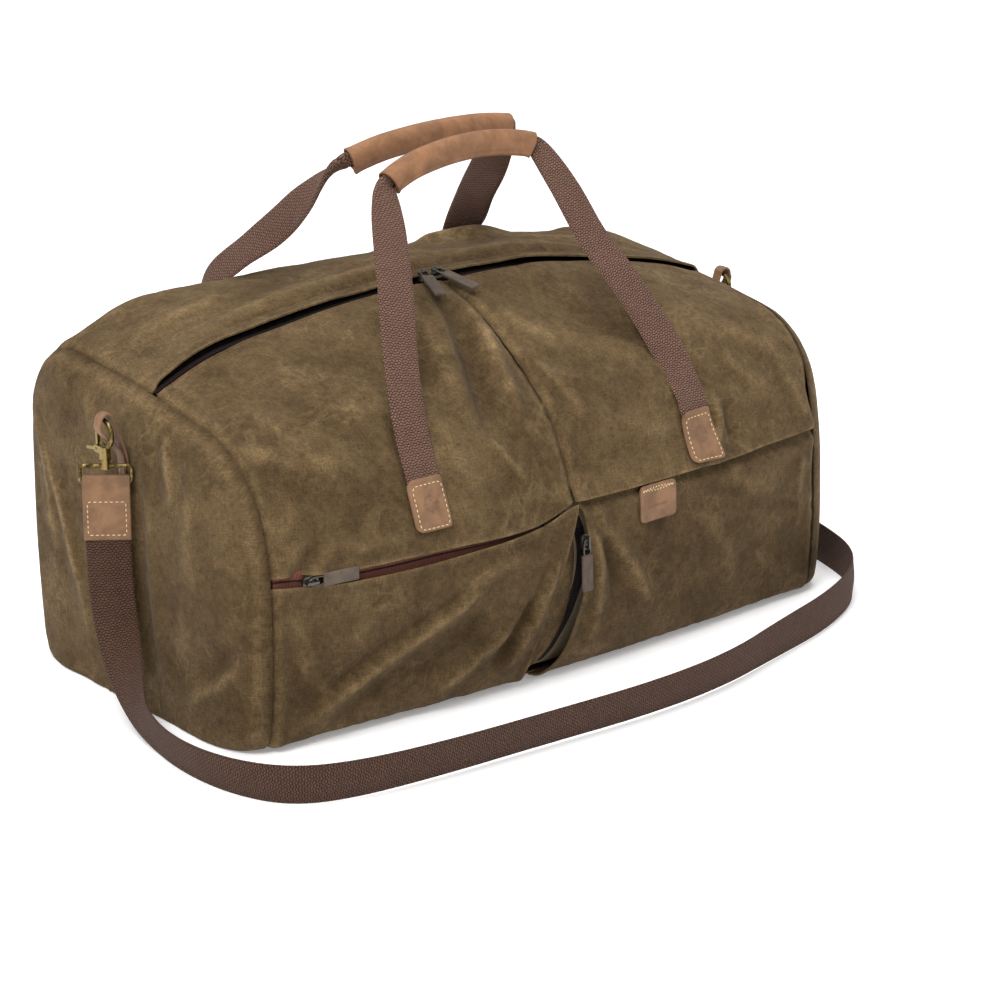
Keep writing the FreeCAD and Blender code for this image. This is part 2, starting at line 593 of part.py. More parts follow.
def build_hooks():
    """Both swivel hooks with their gates, pins, springs, wire loops and leather anchors."""
    for side, name in ((-1, "left"), (1, "right")):
        x, y = side * HOOK_X, HOOK_Y[name]
        across = TAB_TURN[name]
        save(f"swivel_loop_{name}", seated(swivel_loop(), (x, y, 0), (*across, 0), (0, 0, 1)))
        hook, gate, spring = hook_body(), hook_gate(), gate_spring()
        pin = rod((CHEEKS[0] - 0.4, *GATE_PIVOT), (1, 0, 0), PIN, CHEEKS[1] - CHEEKS[0] + 0.8)
        anchor = anchor_loop()
        if side < 0:
            anchor = mirror_x(anchor)
        anchor.translate(Vector(0, y + ANCHOR_SHIFT, 0))
        for label, piece in (("snap_hook", hook), ("snap_gate", gate), ("gate_pin", pin),
                             ("gate_spring", spring)):
            piece.translate(Vector(x, y, 0))
            save(f"{label}_{name}", piece)
        save(f"anchor_loop_{name}", anchor)


build_body()
build_main_zip()
build_pocket_zip()
build_centre_zip()
build_handles()
build_strap()
build_hooks()
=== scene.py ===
"""Canvas weekender bag: the looks of its soft body, zips, handles and shoulder strap."""
import logging
import math
from dataclasses import dataclass, field
from enum import Enum

import bpy
import numpy as np
from mathutils import Matrix, Vector, noise
from mathutils.bvhtree import BVHTree


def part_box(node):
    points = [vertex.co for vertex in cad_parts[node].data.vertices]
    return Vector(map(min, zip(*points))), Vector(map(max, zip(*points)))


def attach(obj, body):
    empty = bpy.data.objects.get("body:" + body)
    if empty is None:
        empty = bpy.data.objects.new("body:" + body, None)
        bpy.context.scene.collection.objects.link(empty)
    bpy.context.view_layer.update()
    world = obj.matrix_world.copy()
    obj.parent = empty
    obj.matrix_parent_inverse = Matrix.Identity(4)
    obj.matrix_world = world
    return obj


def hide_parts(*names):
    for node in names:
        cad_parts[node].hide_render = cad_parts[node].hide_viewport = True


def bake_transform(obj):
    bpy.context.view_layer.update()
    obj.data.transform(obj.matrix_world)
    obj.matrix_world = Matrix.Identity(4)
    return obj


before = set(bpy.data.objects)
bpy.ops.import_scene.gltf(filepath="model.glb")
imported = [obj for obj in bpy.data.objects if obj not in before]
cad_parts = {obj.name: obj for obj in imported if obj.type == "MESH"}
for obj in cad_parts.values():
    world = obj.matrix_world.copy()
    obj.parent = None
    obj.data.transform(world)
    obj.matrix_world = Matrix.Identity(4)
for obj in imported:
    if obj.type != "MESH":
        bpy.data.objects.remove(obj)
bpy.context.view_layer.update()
LOG = logging.getLogger("weekender")
MM = 0.001
FLOOR_GAP = 0.0002
Table = tuple[tuple[float, ...], ...]


# ---- mesh helpers --------------------------------------------------------------------
class Edge(Enum):
    """How one side of a canvas panel ends."""

    SEAM = "seam"      # sewn to its neighbour in a shallow groove
    HEM = "hem"        # folded lip that stands a little proud
    TUCK = "tuck"      # runs on under its neighbour
    FLUSH = "flush"    # meets its neighbour smoothly


def deselect() -> None:
    """Leave object mode with nothing selected."""
    if bpy.context.object and bpy.context.object.mode != "OBJECT":
        bpy.ops.object.mode_set(mode="OBJECT")
    bpy.ops.object.select_all(action="DESELECT")


def smoothstep(low: float, high: float, value: np.ndarray) -> np.ndarray:
    """A smooth 0 to 1 ramp.

    Args:
        low: where the ramp starts.
        high: where it ends.
        value: the numbers to map.
    Returns:
        The ramp at each number.
    """
    t = np.clip((value - low) / (high - low), 0.0, 1.0)
    return t * t * (3 - 2 * t)


def chain(points: np.ndarray, places: np.ndarray) -> np.ndarray:
    """Evaluate a smooth curve through points, one unit of place per point.

    Args:
        points: rows of numbers of any width.
        places: where to evaluate, from 0 to len(points) - 1.
    Returns:
        One row for each place.
    """
    last = len(points) - 1
    s = np.clip(places, 0, last - 1e-6)
    i = s.astype(int)
    t = (s - i)[..., None]
    p0, p1 = points[np.maximum(i - 1, 0)], points[i]
    p2, p3 = points[i + 1], points[np.minimum(i + 2, last)]
    return 0.5 * (2 * p1 + (p2 - p0) * t + (2 * p0 - 5 * p1 + 4 * p2 - p3) * t ** 2
                  + (3 * p1 - p0 - 3 * p2 + p3) * t ** 3)


def lattice(name: str, columns: int, rows: int) -> tuple[bpy.types.Object, np.ndarray, np.ndarray]:
    """Add a grid that becomes a sheet of cloth or leather.

    Args:
        name: the piece's name.
        columns: cells across, along u.
        rows: cells up, along v.
    Returns:
        The object, and u and v from 0 to 1 at each of its points.
    """
    deselect()
    bpy.ops.mesh.primitive_grid_add(x_subdivisions=columns, y_subdivisions=rows, size=2, calc_uvs=True)
    obj = bpy.context.object
    obj.name = name
    obj.data.name = name
    flat = np.empty(len(obj.data.vertices) * 3)
    obj.data.vertices.foreach_get("co", flat)
    flat = flat.reshape(-1, 3)
    return obj, (flat[:, 0] + 1) / 2, (flat[:, 1] + 1) / 2


def drape(obj: bpy.types.Object, points: np.ndarray, cloth: np.ndarray) -> None:
    """Move a grid's points into place and lay out its cloth coordinates.

    Args:
        obj: the grid.
        points: its points' new places, in metres.
        cloth: two numbers for each point, metres across and along the cloth.
    """
    obj.data.vertices.foreach_set("co", points.astype(np.float32).ravel())
    corner = np.empty(len(obj.data.loops), np.int32)
    obj.data.loops.foreach_get("vertex_index", corner)
    obj.data.uv_layers.active.data.foreach_set("uv", cloth[corner].astype(np.float32).ravel())
    obj.data.update()


def paint(obj: bpy.types.Object, name: str, values: np.ndarray) -> None:
    """Store one number for each point, for a finish to read."""
    layer = obj.data.attributes.new(name, "FLOAT", "POINT")
    layer.data.foreach_set("value", np.clip(values, 0, 1).astype(np.float32))


def apply(obj: bpy.types.Object, kind: str, **settings: object) -> None:
    """Add a modifier and apply it at once.

    Args:
        obj: the piece.
        kind: the modifier's type.
        settings: its values.
    """
    deselect()
    obj.select_set(True)
    bpy.context.view_layer.objects.active = obj
    modifier = obj.modifiers.new(kind.title(), kind)
    for key, value in settings.items():
        setattr(modifier, key, value)
    bpy.ops.object.modifier_apply(modifier=modifier.name)


def keep_above(obj: bpy.types.Object, height: float) -> None:
    """Lift any vertex that lies lower than the given height.

    Args:
        obj: the piece.
        height: the lowest allowed z, in metres.
    """
    for vertex in obj.data.vertices:
        vertex.co.z = max(vertex.co.z, height)


def close_doubles(obj: bpy.types.Object, distance: float = 2e-5, outward: bool = False) -> None:
    """Merge points that meet, and turn the faces outward if asked."""
    deselect()
    obj.select_set(True)
    bpy.context.view_layer.objects.active = obj
    bpy.ops.object.mode_set(mode="EDIT")
    bpy.ops.mesh.select_all(action="SELECT")
    bpy.ops.mesh.remove_doubles(threshold=distance)
    if outward:
        bpy.ops.mesh.normals_make_consistent(inside=False)
    bpy.ops.object.mode_set(mode="OBJECT")


def smooth(obj: bpy.types.Object, angle: float = 40.0) -> None:
    """Shade smooth except across edges sharper than angle."""
    deselect()
    obj.select_set(True)
    bpy.context.view_layer.objects.active = obj
    bpy.ops.object.shade_smooth_by_angle(angle=math.radians(angle))


def unit(rows: np.ndarray) -> np.ndarray:
    """Each row at length one."""
    return rows / np.maximum(np.linalg.norm(rows, axis=-1, keepdims=True), 1e-12)


def wrinkle(points: np.ndarray, size: float, seed: float) -> np.ndarray:
    """Smooth noise from -1 to 1 at each point.

    Args:
        points: places in millimetres.
        size: how wide a wrinkle is, in millimetres.
        seed: shifts the pattern.
    Returns:
        One number for each point.
    """
    shift = Vector((seed * 13.7, seed * 5.1, seed * 9.3))
    return np.array([noise.noise(Vector(p) / size + shift) for p in points])


def bind(obj: bpy.types.Object, finish: bpy.types.Material, body: str, *nodes: str,
         slot: str = "") -> bpy.types.Object:
    """Dress a piece, put it on its body and stand it in for its frame nodes.

    Args:
        obj: the piece.
        finish: its material.
        body: the body that it rides on, or an empty word where it bends between two.
        nodes: the frame nodes that it stands for.
        slot: the record's material slot; not used.
    Returns:
        The piece.
    """
    obj.data.materials.clear()
    obj.data.materials.append(finish)
    if body:
        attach(obj, body)
    if nodes:
        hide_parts(*nodes)
    LOG.info("%s: %d faces on %s", obj.name, len(obj.data.polygons), body or "two bodies")
    return obj


# ---- shader building -----------------------------------------------------------------
class Graph:
    """A short way to write shader nodes, in a material or a group."""

    def __init__(self, tree: bpy.types.NodeTree) -> None:
        """Keep the tree that the nodes go into."""
        self.tree = tree

    def add(self, kind: str, inputs: dict | None = None, **settings: object) -> bpy.types.Node:
        """Add one node.

        Args:
            kind: the node's type name without its ShaderNode prefix.
            inputs: socket name or number to a value or an output socket.
            settings: the node's own properties.
        Returns:
            The node.
        """
        node = self.tree.nodes.new(kind if kind.startswith("NodeGroup") else "ShaderNode" + kind)
        for key, value in settings.items():
            setattr(node, key, value)
        for key, value in (inputs or {}).items():
            if isinstance(value, bpy.types.NodeSocket):
                self.tree.links.new(value, node.inputs[key])
            else:
                node.inputs[key].default_value = value
        return node

    def math(self, operation: str, *values: object, clamp: bool = False) -> bpy.types.NodeSocket:
        """One math node's output."""
        return self.add("Math", dict(enumerate(values)), operation=operation, use_clamp=clamp).outputs[0]

    def ramp(self, value: bpy.types.NodeSocket, low: float, high: float) -> bpy.types.NodeSocket:
        """A smooth 0 to 1 ramp of a value."""
        return self.add("MapRange", {"Value": value, "From Min": low, "From Max": high},
                        interpolation_type="SMOOTHSTEP").outputs["Result"]

    def blend(self, share: object, first: object, second: object, mode: str = "MIX") -> bpy.types.NodeSocket:
        """Mix two colours."""
        node = self.add("Mix", data_type="RGBA", blend_type=mode)
        for socket, value in ((node.inputs[0], share), (node.inputs[6], first), (node.inputs[7], second)):
            if isinstance(value, bpy.types.NodeSocket):
                self.tree.links.new(value, socket)
            else:
                socket.default_value = value
        return node.outputs[2]

    def noise(self, vector: object, scale: float, detail: float = 3.0, rough: float = 0.55,
              warp: float = 0.0) -> bpy.types.NodeSocket:
        """A noise texture's value."""
        return self.add("TexNoise", {"Vector": vector, "Scale": scale, "Detail": detail,
                                     "Roughness": rough, "Distortion": warp}).outputs["Fac"]


def group(name: str, inputs: dict[str, str], outputs: dict[str, str]) -> tuple[bpy.types.NodeTree, Graph]:
    """Start a shader node group.

    Args:
        name: the group's name.
        inputs: socket name to socket type.
        outputs: socket name to socket type.
    Returns:
        The group and a graph to fill it.
    """
    tree = bpy.data.node_groups.new(name, "ShaderNodeTree")
    for direction, sockets in (("INPUT", inputs), ("OUTPUT", outputs)):
        for label, kind in sockets.items():
            tree.interface.new_socket(name=label, in_out=direction, socket_type=kind)
    return tree, Graph(tree)


def rgb(red: float, green: float, blue: float) -> tuple[float, float, float, float]:
    """A colour from display values 0 to 255, for a shader socket."""
    return (*[((c / 255 + 0.055) / 1.055) ** 2.4 if c > 10 else c / 3295 for c in (red, green, blue)], 1.0)


class Effects:
    """The shader groups that several finishes share."""

    def __init__(self) -> None:
        """Build each group once."""
        self.mottle = self._mottle()
        self.weave = self._weave()
        self.grain = self._grain()

    def _mottle(self) -> bpy.types.NodeTree:
        """Cloudy patches, fine rubbed veins and specks."""
        tree, g = group("mottle", {"Vector": "NodeSocketVector", "Scale": "NodeSocketFloat"},
                        {"Cloud": "NodeSocketFloat", "Vein": "NodeSocketFloat", "Speck": "NodeSocketFloat"})
        source = g.add("NodeGroupInput")
        sink = g.add("NodeGroupOutput")
        vector = g.add("VectorMath", {0: source.outputs["Vector"], "Scale": source.outputs["Scale"]},
                       operation="SCALE").outputs[0]
        cloud = g.math("ADD", g.math("MULTIPLY", g.noise(vector, 13.0, 3.0, 0.6, 0.4), 0.6),
                       g.math("MULTIPLY", g.noise(vector, 46.0, 4.0, 0.6, 0.8), 0.4))
        line = g.math("ABSOLUTE", g.math("SUBTRACT", g.noise(vector, 30.0, 2.5, 0.6, 0.6), 0.5))
        other = g.math("ABSOLUTE", g.math("SUBTRACT", g.noise(vector, 17.0, 3.0, 0.6, 0.7), 0.47))
        vein = g.math("MAXIMUM", g.ramp(line, 0.05, 0.0), g.math("MULTIPLY", g.ramp(other, 0.04, 0.0), 0.8))
        vein = g.math("MULTIPLY", vein, g.ramp(g.noise(vector, 22.0, 2.0), 0.46, 0.66))
        speck = g.noise(vector, 620.0, 3.0, 0.75)
        for label, value in (("Cloud", cloud), ("Vein", vein), ("Speck", speck)):
            tree.links.new(value, sink.inputs[label])
        return tree

    def _weave(self) -> bpy.types.NodeTree:
        """Ribs of a woven cloth, from metres across and along it."""
        tree, g = group("weave", {"Vector": "NodeSocketVector", "Across": "NodeSocketFloat",
                                  "Along": "NodeSocketFloat", "Slant": "NodeSocketFloat"},
                        {"Height": "NodeSocketFloat", "Thread": "NodeSocketFloat"})
        source = g.add("NodeGroupInput")
        sink = g.add("NodeGroupOutput")
        parts = g.add("SeparateXYZ", {0: source.outputs["Vector"]})
        across = g.math("DIVIDE", parts.outputs[0], source.outputs["Across"])
        along = g.math("DIVIDE", parts.outputs[1], source.outputs["Along"])
        slant = g.math("MULTIPLY", g.math("PINGPONG", across, 1.0), source.outputs["Slant"])
        along = g.math("ADD", along, slant)
        row = g.math("FLOOR", along)
        shifted = g.math("ADD", across, g.math("MULTIPLY", row, 0.5))
        bump_a = g.math("SINE", g.math("MULTIPLY", g.math("FRACT", along), math.pi))
        bump_b = g.math("SINE", g.math("MULTIPLY", g.math("FRACT", shifted), math.pi))
        height = g.math("MULTIPLY", g.math("POWER", bump_a, 0.7), g.math("POWER", bump_b, 0.5))
        seat = g.add("CombineXYZ", {0: g.math("FLOOR", shifted), 1: row})
        thread = g.add("TexWhiteNoise", {0: seat.outputs[0]}, noise_dimensions="2D").outputs["Value"]
        tree.links.new(height, sink.inputs["Height"])
        tree.links.new(thread, sink.inputs["Thread"])
        return tree

    def _grain(self) -> bpy.types.NodeTree:
        """Leather grain and its scuffs."""
        tree, g = group("grain", {"Vector": "NodeSocketVector", "Scale": "NodeSocketFloat"},
                        {"Height": "NodeSocketFloat", "Scuff": "NodeSocketFloat"})
        source = g.add("NodeGroupInput")
        sink = g.add("NodeGroupOutput")
        vector = g.add("VectorMath", {0: source.outputs["Vector"], "Scale": source.outputs["Scale"]},
                       operation="SCALE").outputs[0]
        cells = g.add("TexVoronoi", {"Vector": vector, "Scale": 850.0}, feature="DISTANCE_TO_EDGE").outputs[0]
        height = g.math("ADD", g.ramp(cells, 0.0, 0.12), g.math("MULTIPLY", g.noise(vector, 260.0, 4.0), 0.9))
        scuff = g.ramp(g.noise(vector, 75.0, 5.0, 0.7, 1.2), 0.42, 0.7)
        tree.links.new(height, sink.inputs["Height"])
        tree.links.new(scuff, sink.inputs["Scuff"])
        return tree


class Coordinates(Enum):
    """Where a finish takes its pattern from."""

    OBJECT = "Object"
    CLOTH = "UV"


def start(name: str, source: Coordinates) -> tuple[bpy.types.Material, Graph, bpy.types.Node,
                                                    bpy.types.NodeSocket]:
    """A new material with its shader and its coordinates.

    Args:
        name: the material's name.
        source: object or cloth coordinates.
    Returns:
        The material, its graph, its shader node and the coordinate socket.
    """
    material = bpy.data.materials.new(name)
    material.use_nodes = True
    graph = Graph(material.node_tree)
    shader = material.node_tree.nodes["Principled BSDF"]
    vector = graph.add("TexCoord").outputs[source.value]
    return material, graph, shader, vector


def use(graph: Graph, tree: bpy.types.NodeTree, **inputs: object) -> bpy.types.Node:
    """Place a shared group in a material."""
    node = graph.tree.nodes.new("ShaderNodeGroup")
    node.node_tree = tree
    for key, value in inputs.items():
        if isinstance(value, bpy.types.NodeSocket):
            graph.tree.links.new(value, node.inputs[key])
        else:
            node.inputs[key].default_value = value
    return node


@dataclass(frozen=True)
class Canvas:
    """Waxed canvas: cloudy olive brown, rubbed lighter on folds and seams, with painted shade in creases,
    seams and the slit.
    """

    name: str
    deep: tuple[float, float, float]
    body: tuple[float, float, float]
    rubbed: tuple[float, float, float]

    def build(self, effects: Effects) -> bpy.types.Material:
        """Make the material.

        Args:
            effects: the shared groups.
        Returns:
            The material.
        """
        material, g, shader, vector = start(self.name, Coordinates.OBJECT)
        cloth = g.add("TexCoord").outputs["UV"]
        mottle = use(g, effects.mottle, Vector=vector, Scale=1.0)
        weave = use(g, effects.weave, Vector=cloth, Across=0.0011, Along=0.0008, Slant=0.0)
        rub = g.add("Attribute", attribute_name="rub").outputs["Fac"]
        hollow = g.add("Attribute", attribute_name="hollow").outputs["Fac"]
        cloud = g.ramp(mottle.outputs["Cloud"], 0.36, 0.64)
        base = g.blend(cloud, rgb(*self.deep), rgb(*self.body))
        worn = g.math("ADD", g.math("MULTIPLY", mottle.outputs["Vein"], 0.2),
                      g.math("MULTIPLY", rub, g.ramp(g.noise(vector, 60.0, 4.0, 0.65), 0.2, 0.8)), clamp=True)
        base = g.blend(worn, base, rgb(*self.rubbed))
        # Painted shade: the hollow attribute (crease valleys, seam grooves, tucks, the slit and each panel's
        # shade value) darkens the cloth towards a deeper brown.
        painted_shade = rgb(*[c * k for c, k in zip(self.deep, (0.58, 0.52, 0.4))])
        base = g.blend(g.math("MULTIPLY", hollow, 0.6), base, painted_shade)
        warp = g.add("VectorMath", {0: cloth, 1: (1100.0, 150.0, 1.0)}, operation="MULTIPLY").outputs[0]
        weft = g.add("VectorMath", {0: cloth, 1: (150.0, 1100.0, 1.0)}, operation="MULTIPLY").outputs[0]
        heather = g.math("ADD", g.noise(warp, 1.0, 2.0, 0.6), g.noise(weft, 1.0, 2.0, 0.6))
        fleck = g.math("ADD", g.math("MULTIPLY", g.ramp(mottle.outputs["Speck"], 0.3, 0.7), 0.22),
                       g.math("MULTIPLY", weave.outputs["Thread"], 0.14))
        fleck = g.math("ADD", fleck, g.math("MULTIPLY", g.ramp(heather, 0.78, 1.22), 0.46))
        speckle = g.ramp(g.noise(vector, 150.0, 4.0, 0.7), 0.3, 0.7)
        fleck = g.math("ADD", fleck, g.math("MULTIPLY", speckle, 0.26))
        fleck = g.add("CombineColor", {i: g.math("ADD", fleck, 0.5) for i in range(3)}).outputs[0]
        base = g.blend(1.0, base, fleck, "MULTIPLY")
        g.tree.links.new(base, shader.inputs["Base Color"])
        rough = g.math("ADD", g.math("MULTIPLY", cloud, -0.05), 0.93)
        g.tree.links.new(rough, shader.inputs["Roughness"])
        height = g.math("ADD", g.math("MULTIPLY", weave.outputs["Height"], 0.5),
                        g.math("MULTIPLY", mottle.outputs["Speck"], 0.9))
        fine = g.add("Bump", {"Height": height, "Distance": 0.00022, "Strength": 0.8})
        soft = g.add("Bump", {"Height": g.noise(vector, 95.0, 4.0, 0.6), "Distance": 0.0016,
                              "Strength": 0.6, "Normal": fine.outputs[0]})
        g.tree.links.new(soft.outputs[0], shader.inputs["Normal"])
        shader.inputs["Sheen Weight"].default_value = 0.03
        shader.inputs["Sheen Roughness"].default_value = 0.5
        shader.inputs["Specular IOR Level"].default_value = 0.12
        return material


@dataclass(frozen=True)
class Webbing:
    """Heavy woven tape with rows of raised ribs."""

    name: str
    shade: tuple[float, float, float]
    rib: tuple[float, float] = (0.0030, 0.0021)
    slant: float = 0.55
    depth: float = 0.0009

    def build(self, effects: Effects) -> bpy.types.Material:
        """Make the material from the shared groups."""
        material, g, shader, vector = start(self.name, Coordinates.CLOTH)
        place = g.add("TexCoord").outputs["Object"]
        weave = use(g, effects.weave, Vector=vector, Across=self.rib[0], Along=self.rib[1], Slant=self.slant)
        # Painted shade and light on the weave: darker in the grooves between the ribs, lighter on their
        # crowns.
        low = rgb(*[c * 0.42 for c in self.shade])
        high = rgb(*[min(255, c * 1.22) for c in self.shade])
        base = g.blend(g.ramp(weave.outputs["Height"], 0.1, 0.75), low, high)
        tone = g.math("ADD", g.math("MULTIPLY", weave.outputs["Thread"], 0.16),
                      g.math("MULTIPLY", g.noise(place, 70.0, 4.0), 0.3))
        tone = g.add("CombineColor", {i: g.math("ADD", tone, 0.76) for i in range(3)}).outputs[0]
        base = g.blend(1.0, base, tone, "MULTIPLY")
        fuzz = g.noise(place, 900.0, 3.0, 0.7)
        g.tree.links.new(base, shader.inputs["Base Color"])
        g.tree.links.new(g.math("ADD", g.math("MULTIPLY", fuzz, 0.2), 0.68), shader.inputs["Roughness"])
        height = g.math("ADD", weave.outputs["Height"], g.math("MULTIPLY", fuzz, 0.25))
        bump = g.add("Bump", {"Height": height, "Distance": self.depth, "Strength": 1.0})
        g.tree.links.new(bump.outputs[0], shader.inputs["Normal"])
        shader.inputs["Sheen Weight"].default_value = 0.03
        shader.inputs["Specular IOR Level"].default_value = 0.15
        return material


@dataclass(frozen=True)
class Leather:
    """Oiled leather, darker at its edges, with painted shade in its creases and grooves."""

    name: str
    shade: tuple[float, float, float]
    dark: tuple[float, float, float]
    roughness: float = 0.55
    relief: float = 0.00025

    def build(self, effects: Effects) -> bpy.types.Material:
        """Make the material from the shared groups."""
        material, g, shader, vector = start(self.name, Coordinates.OBJECT)
        grain = use(g, effects.grain, Vector=vector, Scale=1.0)
        hollow = g.add("Attribute", attribute_name="hollow").outputs["Fac"]
        cloud = g.ramp(g.noise(vector, 42.0, 5.0, 0.65, 0.8), 0.34, 0.68)
        low, high = rgb(*[c * 0.86 for c in self.shade]), rgb(*[min(255, c * 1.05) for c in self.shade])
        base = g.blend(cloud, low, high)
        base = g.blend(g.math("MULTIPLY", grain.outputs["Scuff"], 0.22), base, rgb(*self.dark))
        # The hollow attribute darkens the leather at its edges and marks, and as painted shade in its creases
        # and grooves.
        base = g.blend(g.math("MULTIPLY", hollow, 0.75), base, rgb(*self.dark))
        g.tree.links.new(base, shader.inputs["Base Color"])
        rough = g.math("ADD", g.math("MULTIPLY", grain.outputs["Scuff"], 0.14), self.roughness)
        g.tree.links.new(rough, shader.inputs["Roughness"])
        bump = g.add("Bump", {"Height": grain.outputs["Height"], "Distance": self.relief, "Strength": 0.7})
        g.tree.links.new(bump.outputs[0], shader.inputs["Normal"])
        shader.inputs["Specular IOR Level"].default_value = 0.4
        return material


@dataclass(frozen=True)
class Metal:
    """Cast metal with a dark patina, rubbed bright in patches."""

    name: str
    bright: tuple[float, float, float]
    patina: tuple[float, float, float]
    roughness: float = 0.34

    def build(self, effects: Effects) -> bpy.types.Material:
        """Make the material from the shared groups."""
        material, g, shader, vector = start(self.name, Coordinates.OBJECT)
        mask = g.ramp(g.noise(vector, 210.0, 4.0, 0.6, 0.5), 0.38, 0.62)
        point = g.ramp(g.add("NewGeometry").outputs["Pointiness"], 0.49, 0.56)
        mask = g.math("MAXIMUM", mask, point)
        g.tree.links.new(g.blend(mask, rgb(*self.patina), rgb(*self.bright)), shader.inputs["Base Color"])
        rough = g.math("SUBTRACT", self.roughness + 0.2, g.math("MULTIPLY", mask, 0.2))
        g.tree.links.new(rough, shader.inputs["Roughness"])
        bump = g.add("Bump", {"Height": g.noise(vector, 900.0, 3.0), "Distance": 0.00008, "Strength": 0.6})
        g.tree.links.new(bump.outputs[0], shader.inputs["Normal"])
        shader.inputs["Metallic"].default_value = 1.0
        return material


@dataclass(frozen=True)
class Plain:
    """A finer thread, cloth or board finish: tone, speckle and a little relief."""

    name: str
    shade: tuple[float, float, float]
    roughness: float = 0.7
    scale: float = 700.0
    relief: float = 0.00012
    spread: float = 0.3

    def build(self, effects: Effects) -> bpy.types.Material:
        """Make the material."""
        material, g, shader, vector = start(self.name, Coordinates.OBJECT)
        speck = g.noise(vector, self.scale, 3.0, 0.65)
        cloud = g.noise(vector, 55.0, 3.0)
        share = g.math("MULTIPLY", g.math("ADD", g.ramp(speck, 0.3, 0.7), cloud), 0.5)
        low = rgb(*[c * (1 - self.spread) for c in self.shade])
        g.tree.links.new(g.blend(share, low, rgb(*[min(255, c * 1.06) for c in self.shade])),
                         shader.inputs["Base Color"])
        g.tree.links.new(g.math("ADD", g.math("MULTIPLY", speck, 0.15), self.roughness - 0.08),
                         shader.inputs["Roughness"])
        bump = g.add("Bump", {"Height": speck, "Distance": self.relief, "Strength": 0.8})
        g.tree.links.new(bump.outputs[0], shader.inputs["Normal"])
        return material


class Finishes:
    """Every finish on the bag, built once."""

    def __init__(self) -> None:
        """Build all of them."""
        effects = Effects()
        self.canvas = Canvas("waxed_canvas", (73, 57, 36), (95, 77, 52), (142, 118, 83)).build(effects)
        self.webbing = Webbing("brown_webbing", (100, 74, 62)).build(effects)
        self.strap = Webbing("strap_webbing", (74, 52, 41)).build(effects)
        self.tape = Webbing("zip_tape", (108, 66, 55), (0.0016, 0.0012), 0.0, 0.0002).build(effects)
        self.tan = Leather("tan_leather", (139, 103, 73), (86, 60, 40)).build(effects)
        self.grip = Leather("grip_leather", (152, 107, 72), (92, 60, 36)).build(effects)
        self.pull = Leather("pull_leather", (100, 85, 73), (58, 47, 38), 0.6).build(effects)
        self.brass = Metal("antique_brass", (138, 119, 72), (56, 46, 26)).build(effects)
        self.gunmetal = Metal("gunmetal", (92, 88, 82), (38, 36, 34), 0.4).build(effects)
        self.steel = Metal("spring_steel", (190, 188, 182), (120, 116, 108), 0.3).build(effects)
        self.thread = Plain("cream_thread", (240, 214, 164), 0.65, 2600.0, 0.00005, 0.18).build(effects)
        self.brown_thread = Plain("brown_thread", (120, 84, 62), 0.75, 2600.0, 0.00005, 0.25).build(effects)
        self.lining = Plain("lining_cloth", (126, 110, 86), 0.85, 1100.0).build(effects)
        # Near-black sheet behind the pockets: painted shadow in the slit between them.
        self.slit_shadow_cloth = Plain("painted_slit_shadow", (24, 19, 14), 0.9, 1100.0).build(effects)
        self.board = Plain("base_board", (38, 36, 34), 0.6, 400.0).build(effects)
        self.dark_thread = Plain("dark_thread", (84, 64, 42), 0.75, 2600.0, 0.00005, 0.25).build(effects)
        # Near-black: the coil's dark colour pushed darker as painted shadow; also laid on the rear top tape
        # and the centre tape as painted shadow in the gaps.
        self.coil = Webbing("zip_coil_and_shadow", (30, 22, 20), (0.0030, 0.0012), 0.0, 0.0005).build(effects)


# ---- studio --------------------------------------------------------------------------
@dataclass
class Studio:
    """Camera, soft lights and a pale floor."""

    eye: tuple[float, float, float] = (-1.6821, -2.1960, 1.0624)
    aim: tuple[float, float, float] = (0.0665, 0.0, 0.0871)
    lens: float = 127.1
    floor_size: float = 14.0

    def build(self) -> None:
        """Make the whole set."""
        self._camera()
        self._floor()
        self._light("key", (-2.2, -1.2, 3.0), 1.5, 88.0)
        self._light("fill", (2.4, -2.2, 1.6), 2.2, 16.0)
        self._light("top", (0.3, 0.3, 3.0), 2.2, 58.0)
        world = bpy.data.worlds.new("studio")
        world.use_nodes = True
        world.node_tree.nodes["Background"].inputs["Color"].default_value = (1.0, 1.0, 1.0, 1.0)
        world.node_tree.nodes["Background"].inputs["Strength"].default_value = 0.52
        bpy.context.scene.world = world
        bpy.context.scene.view_settings.view_transform = "Standard"
        LOG.info("studio set")

    def _camera(self) -> None:
        """Aim the camera."""
        deselect()
        bpy.ops.object.camera_add(location=self.eye)
        camera = bpy.context.object
        direction = Vector(self.aim) - Vector(self.eye)
        camera.rotation_euler = direction.to_track_quat("-Z", "Y").to_euler()
        camera.data.lens = self.lens
        camera.data.sensor_width = 36.0
        camera.data.clip_end = 50.0
        bpy.context.scene.camera = camera

    def _floor(self) -> None:
        """A wide pale floor just under the bag."""
        deselect()
        bpy.ops.mesh.primitive_plane_add(size=self.floor_size, location=(0, 0, -0.0006))
        floor = bpy.context.object
        floor.name = "floor"
        material, g, shader, vector = start("pale_floor", Coordinates.OBJECT)
        tone = g.blend(g.noise(vector, 3.0, 2.0), (0.97, 0.97, 0.97, 1), (0.99, 0.99, 0.99, 1))
        g.tree.links.new(tone, shader.inputs["Base Color"])
        shader.inputs["Roughness"].default_value = 0.9
        shader.inputs["Specular IOR Level"].default_value = 0.1
        shader.inputs["Emission Color"].default_value = (1, 1, 1, 1)
        shader.inputs["Emission Strength"].default_value = 0.22
        floor.data.materials.append(material)

    def _light(self, name: str, place: tuple[float, float, float], size: float, power: float) -> None:
        """One soft box aimed at the bag."""
        deselect()
        bpy.ops.object.light_add(type="AREA", location=place)
        light = bpy.context.object
        light.name = name
        light.data.size = size
        light.data.energy = power
        light.rotation_euler = (Vector((0, 0, 0.12)) - Vector(place)).to_track_quat("-Z", "Y").to_euler()


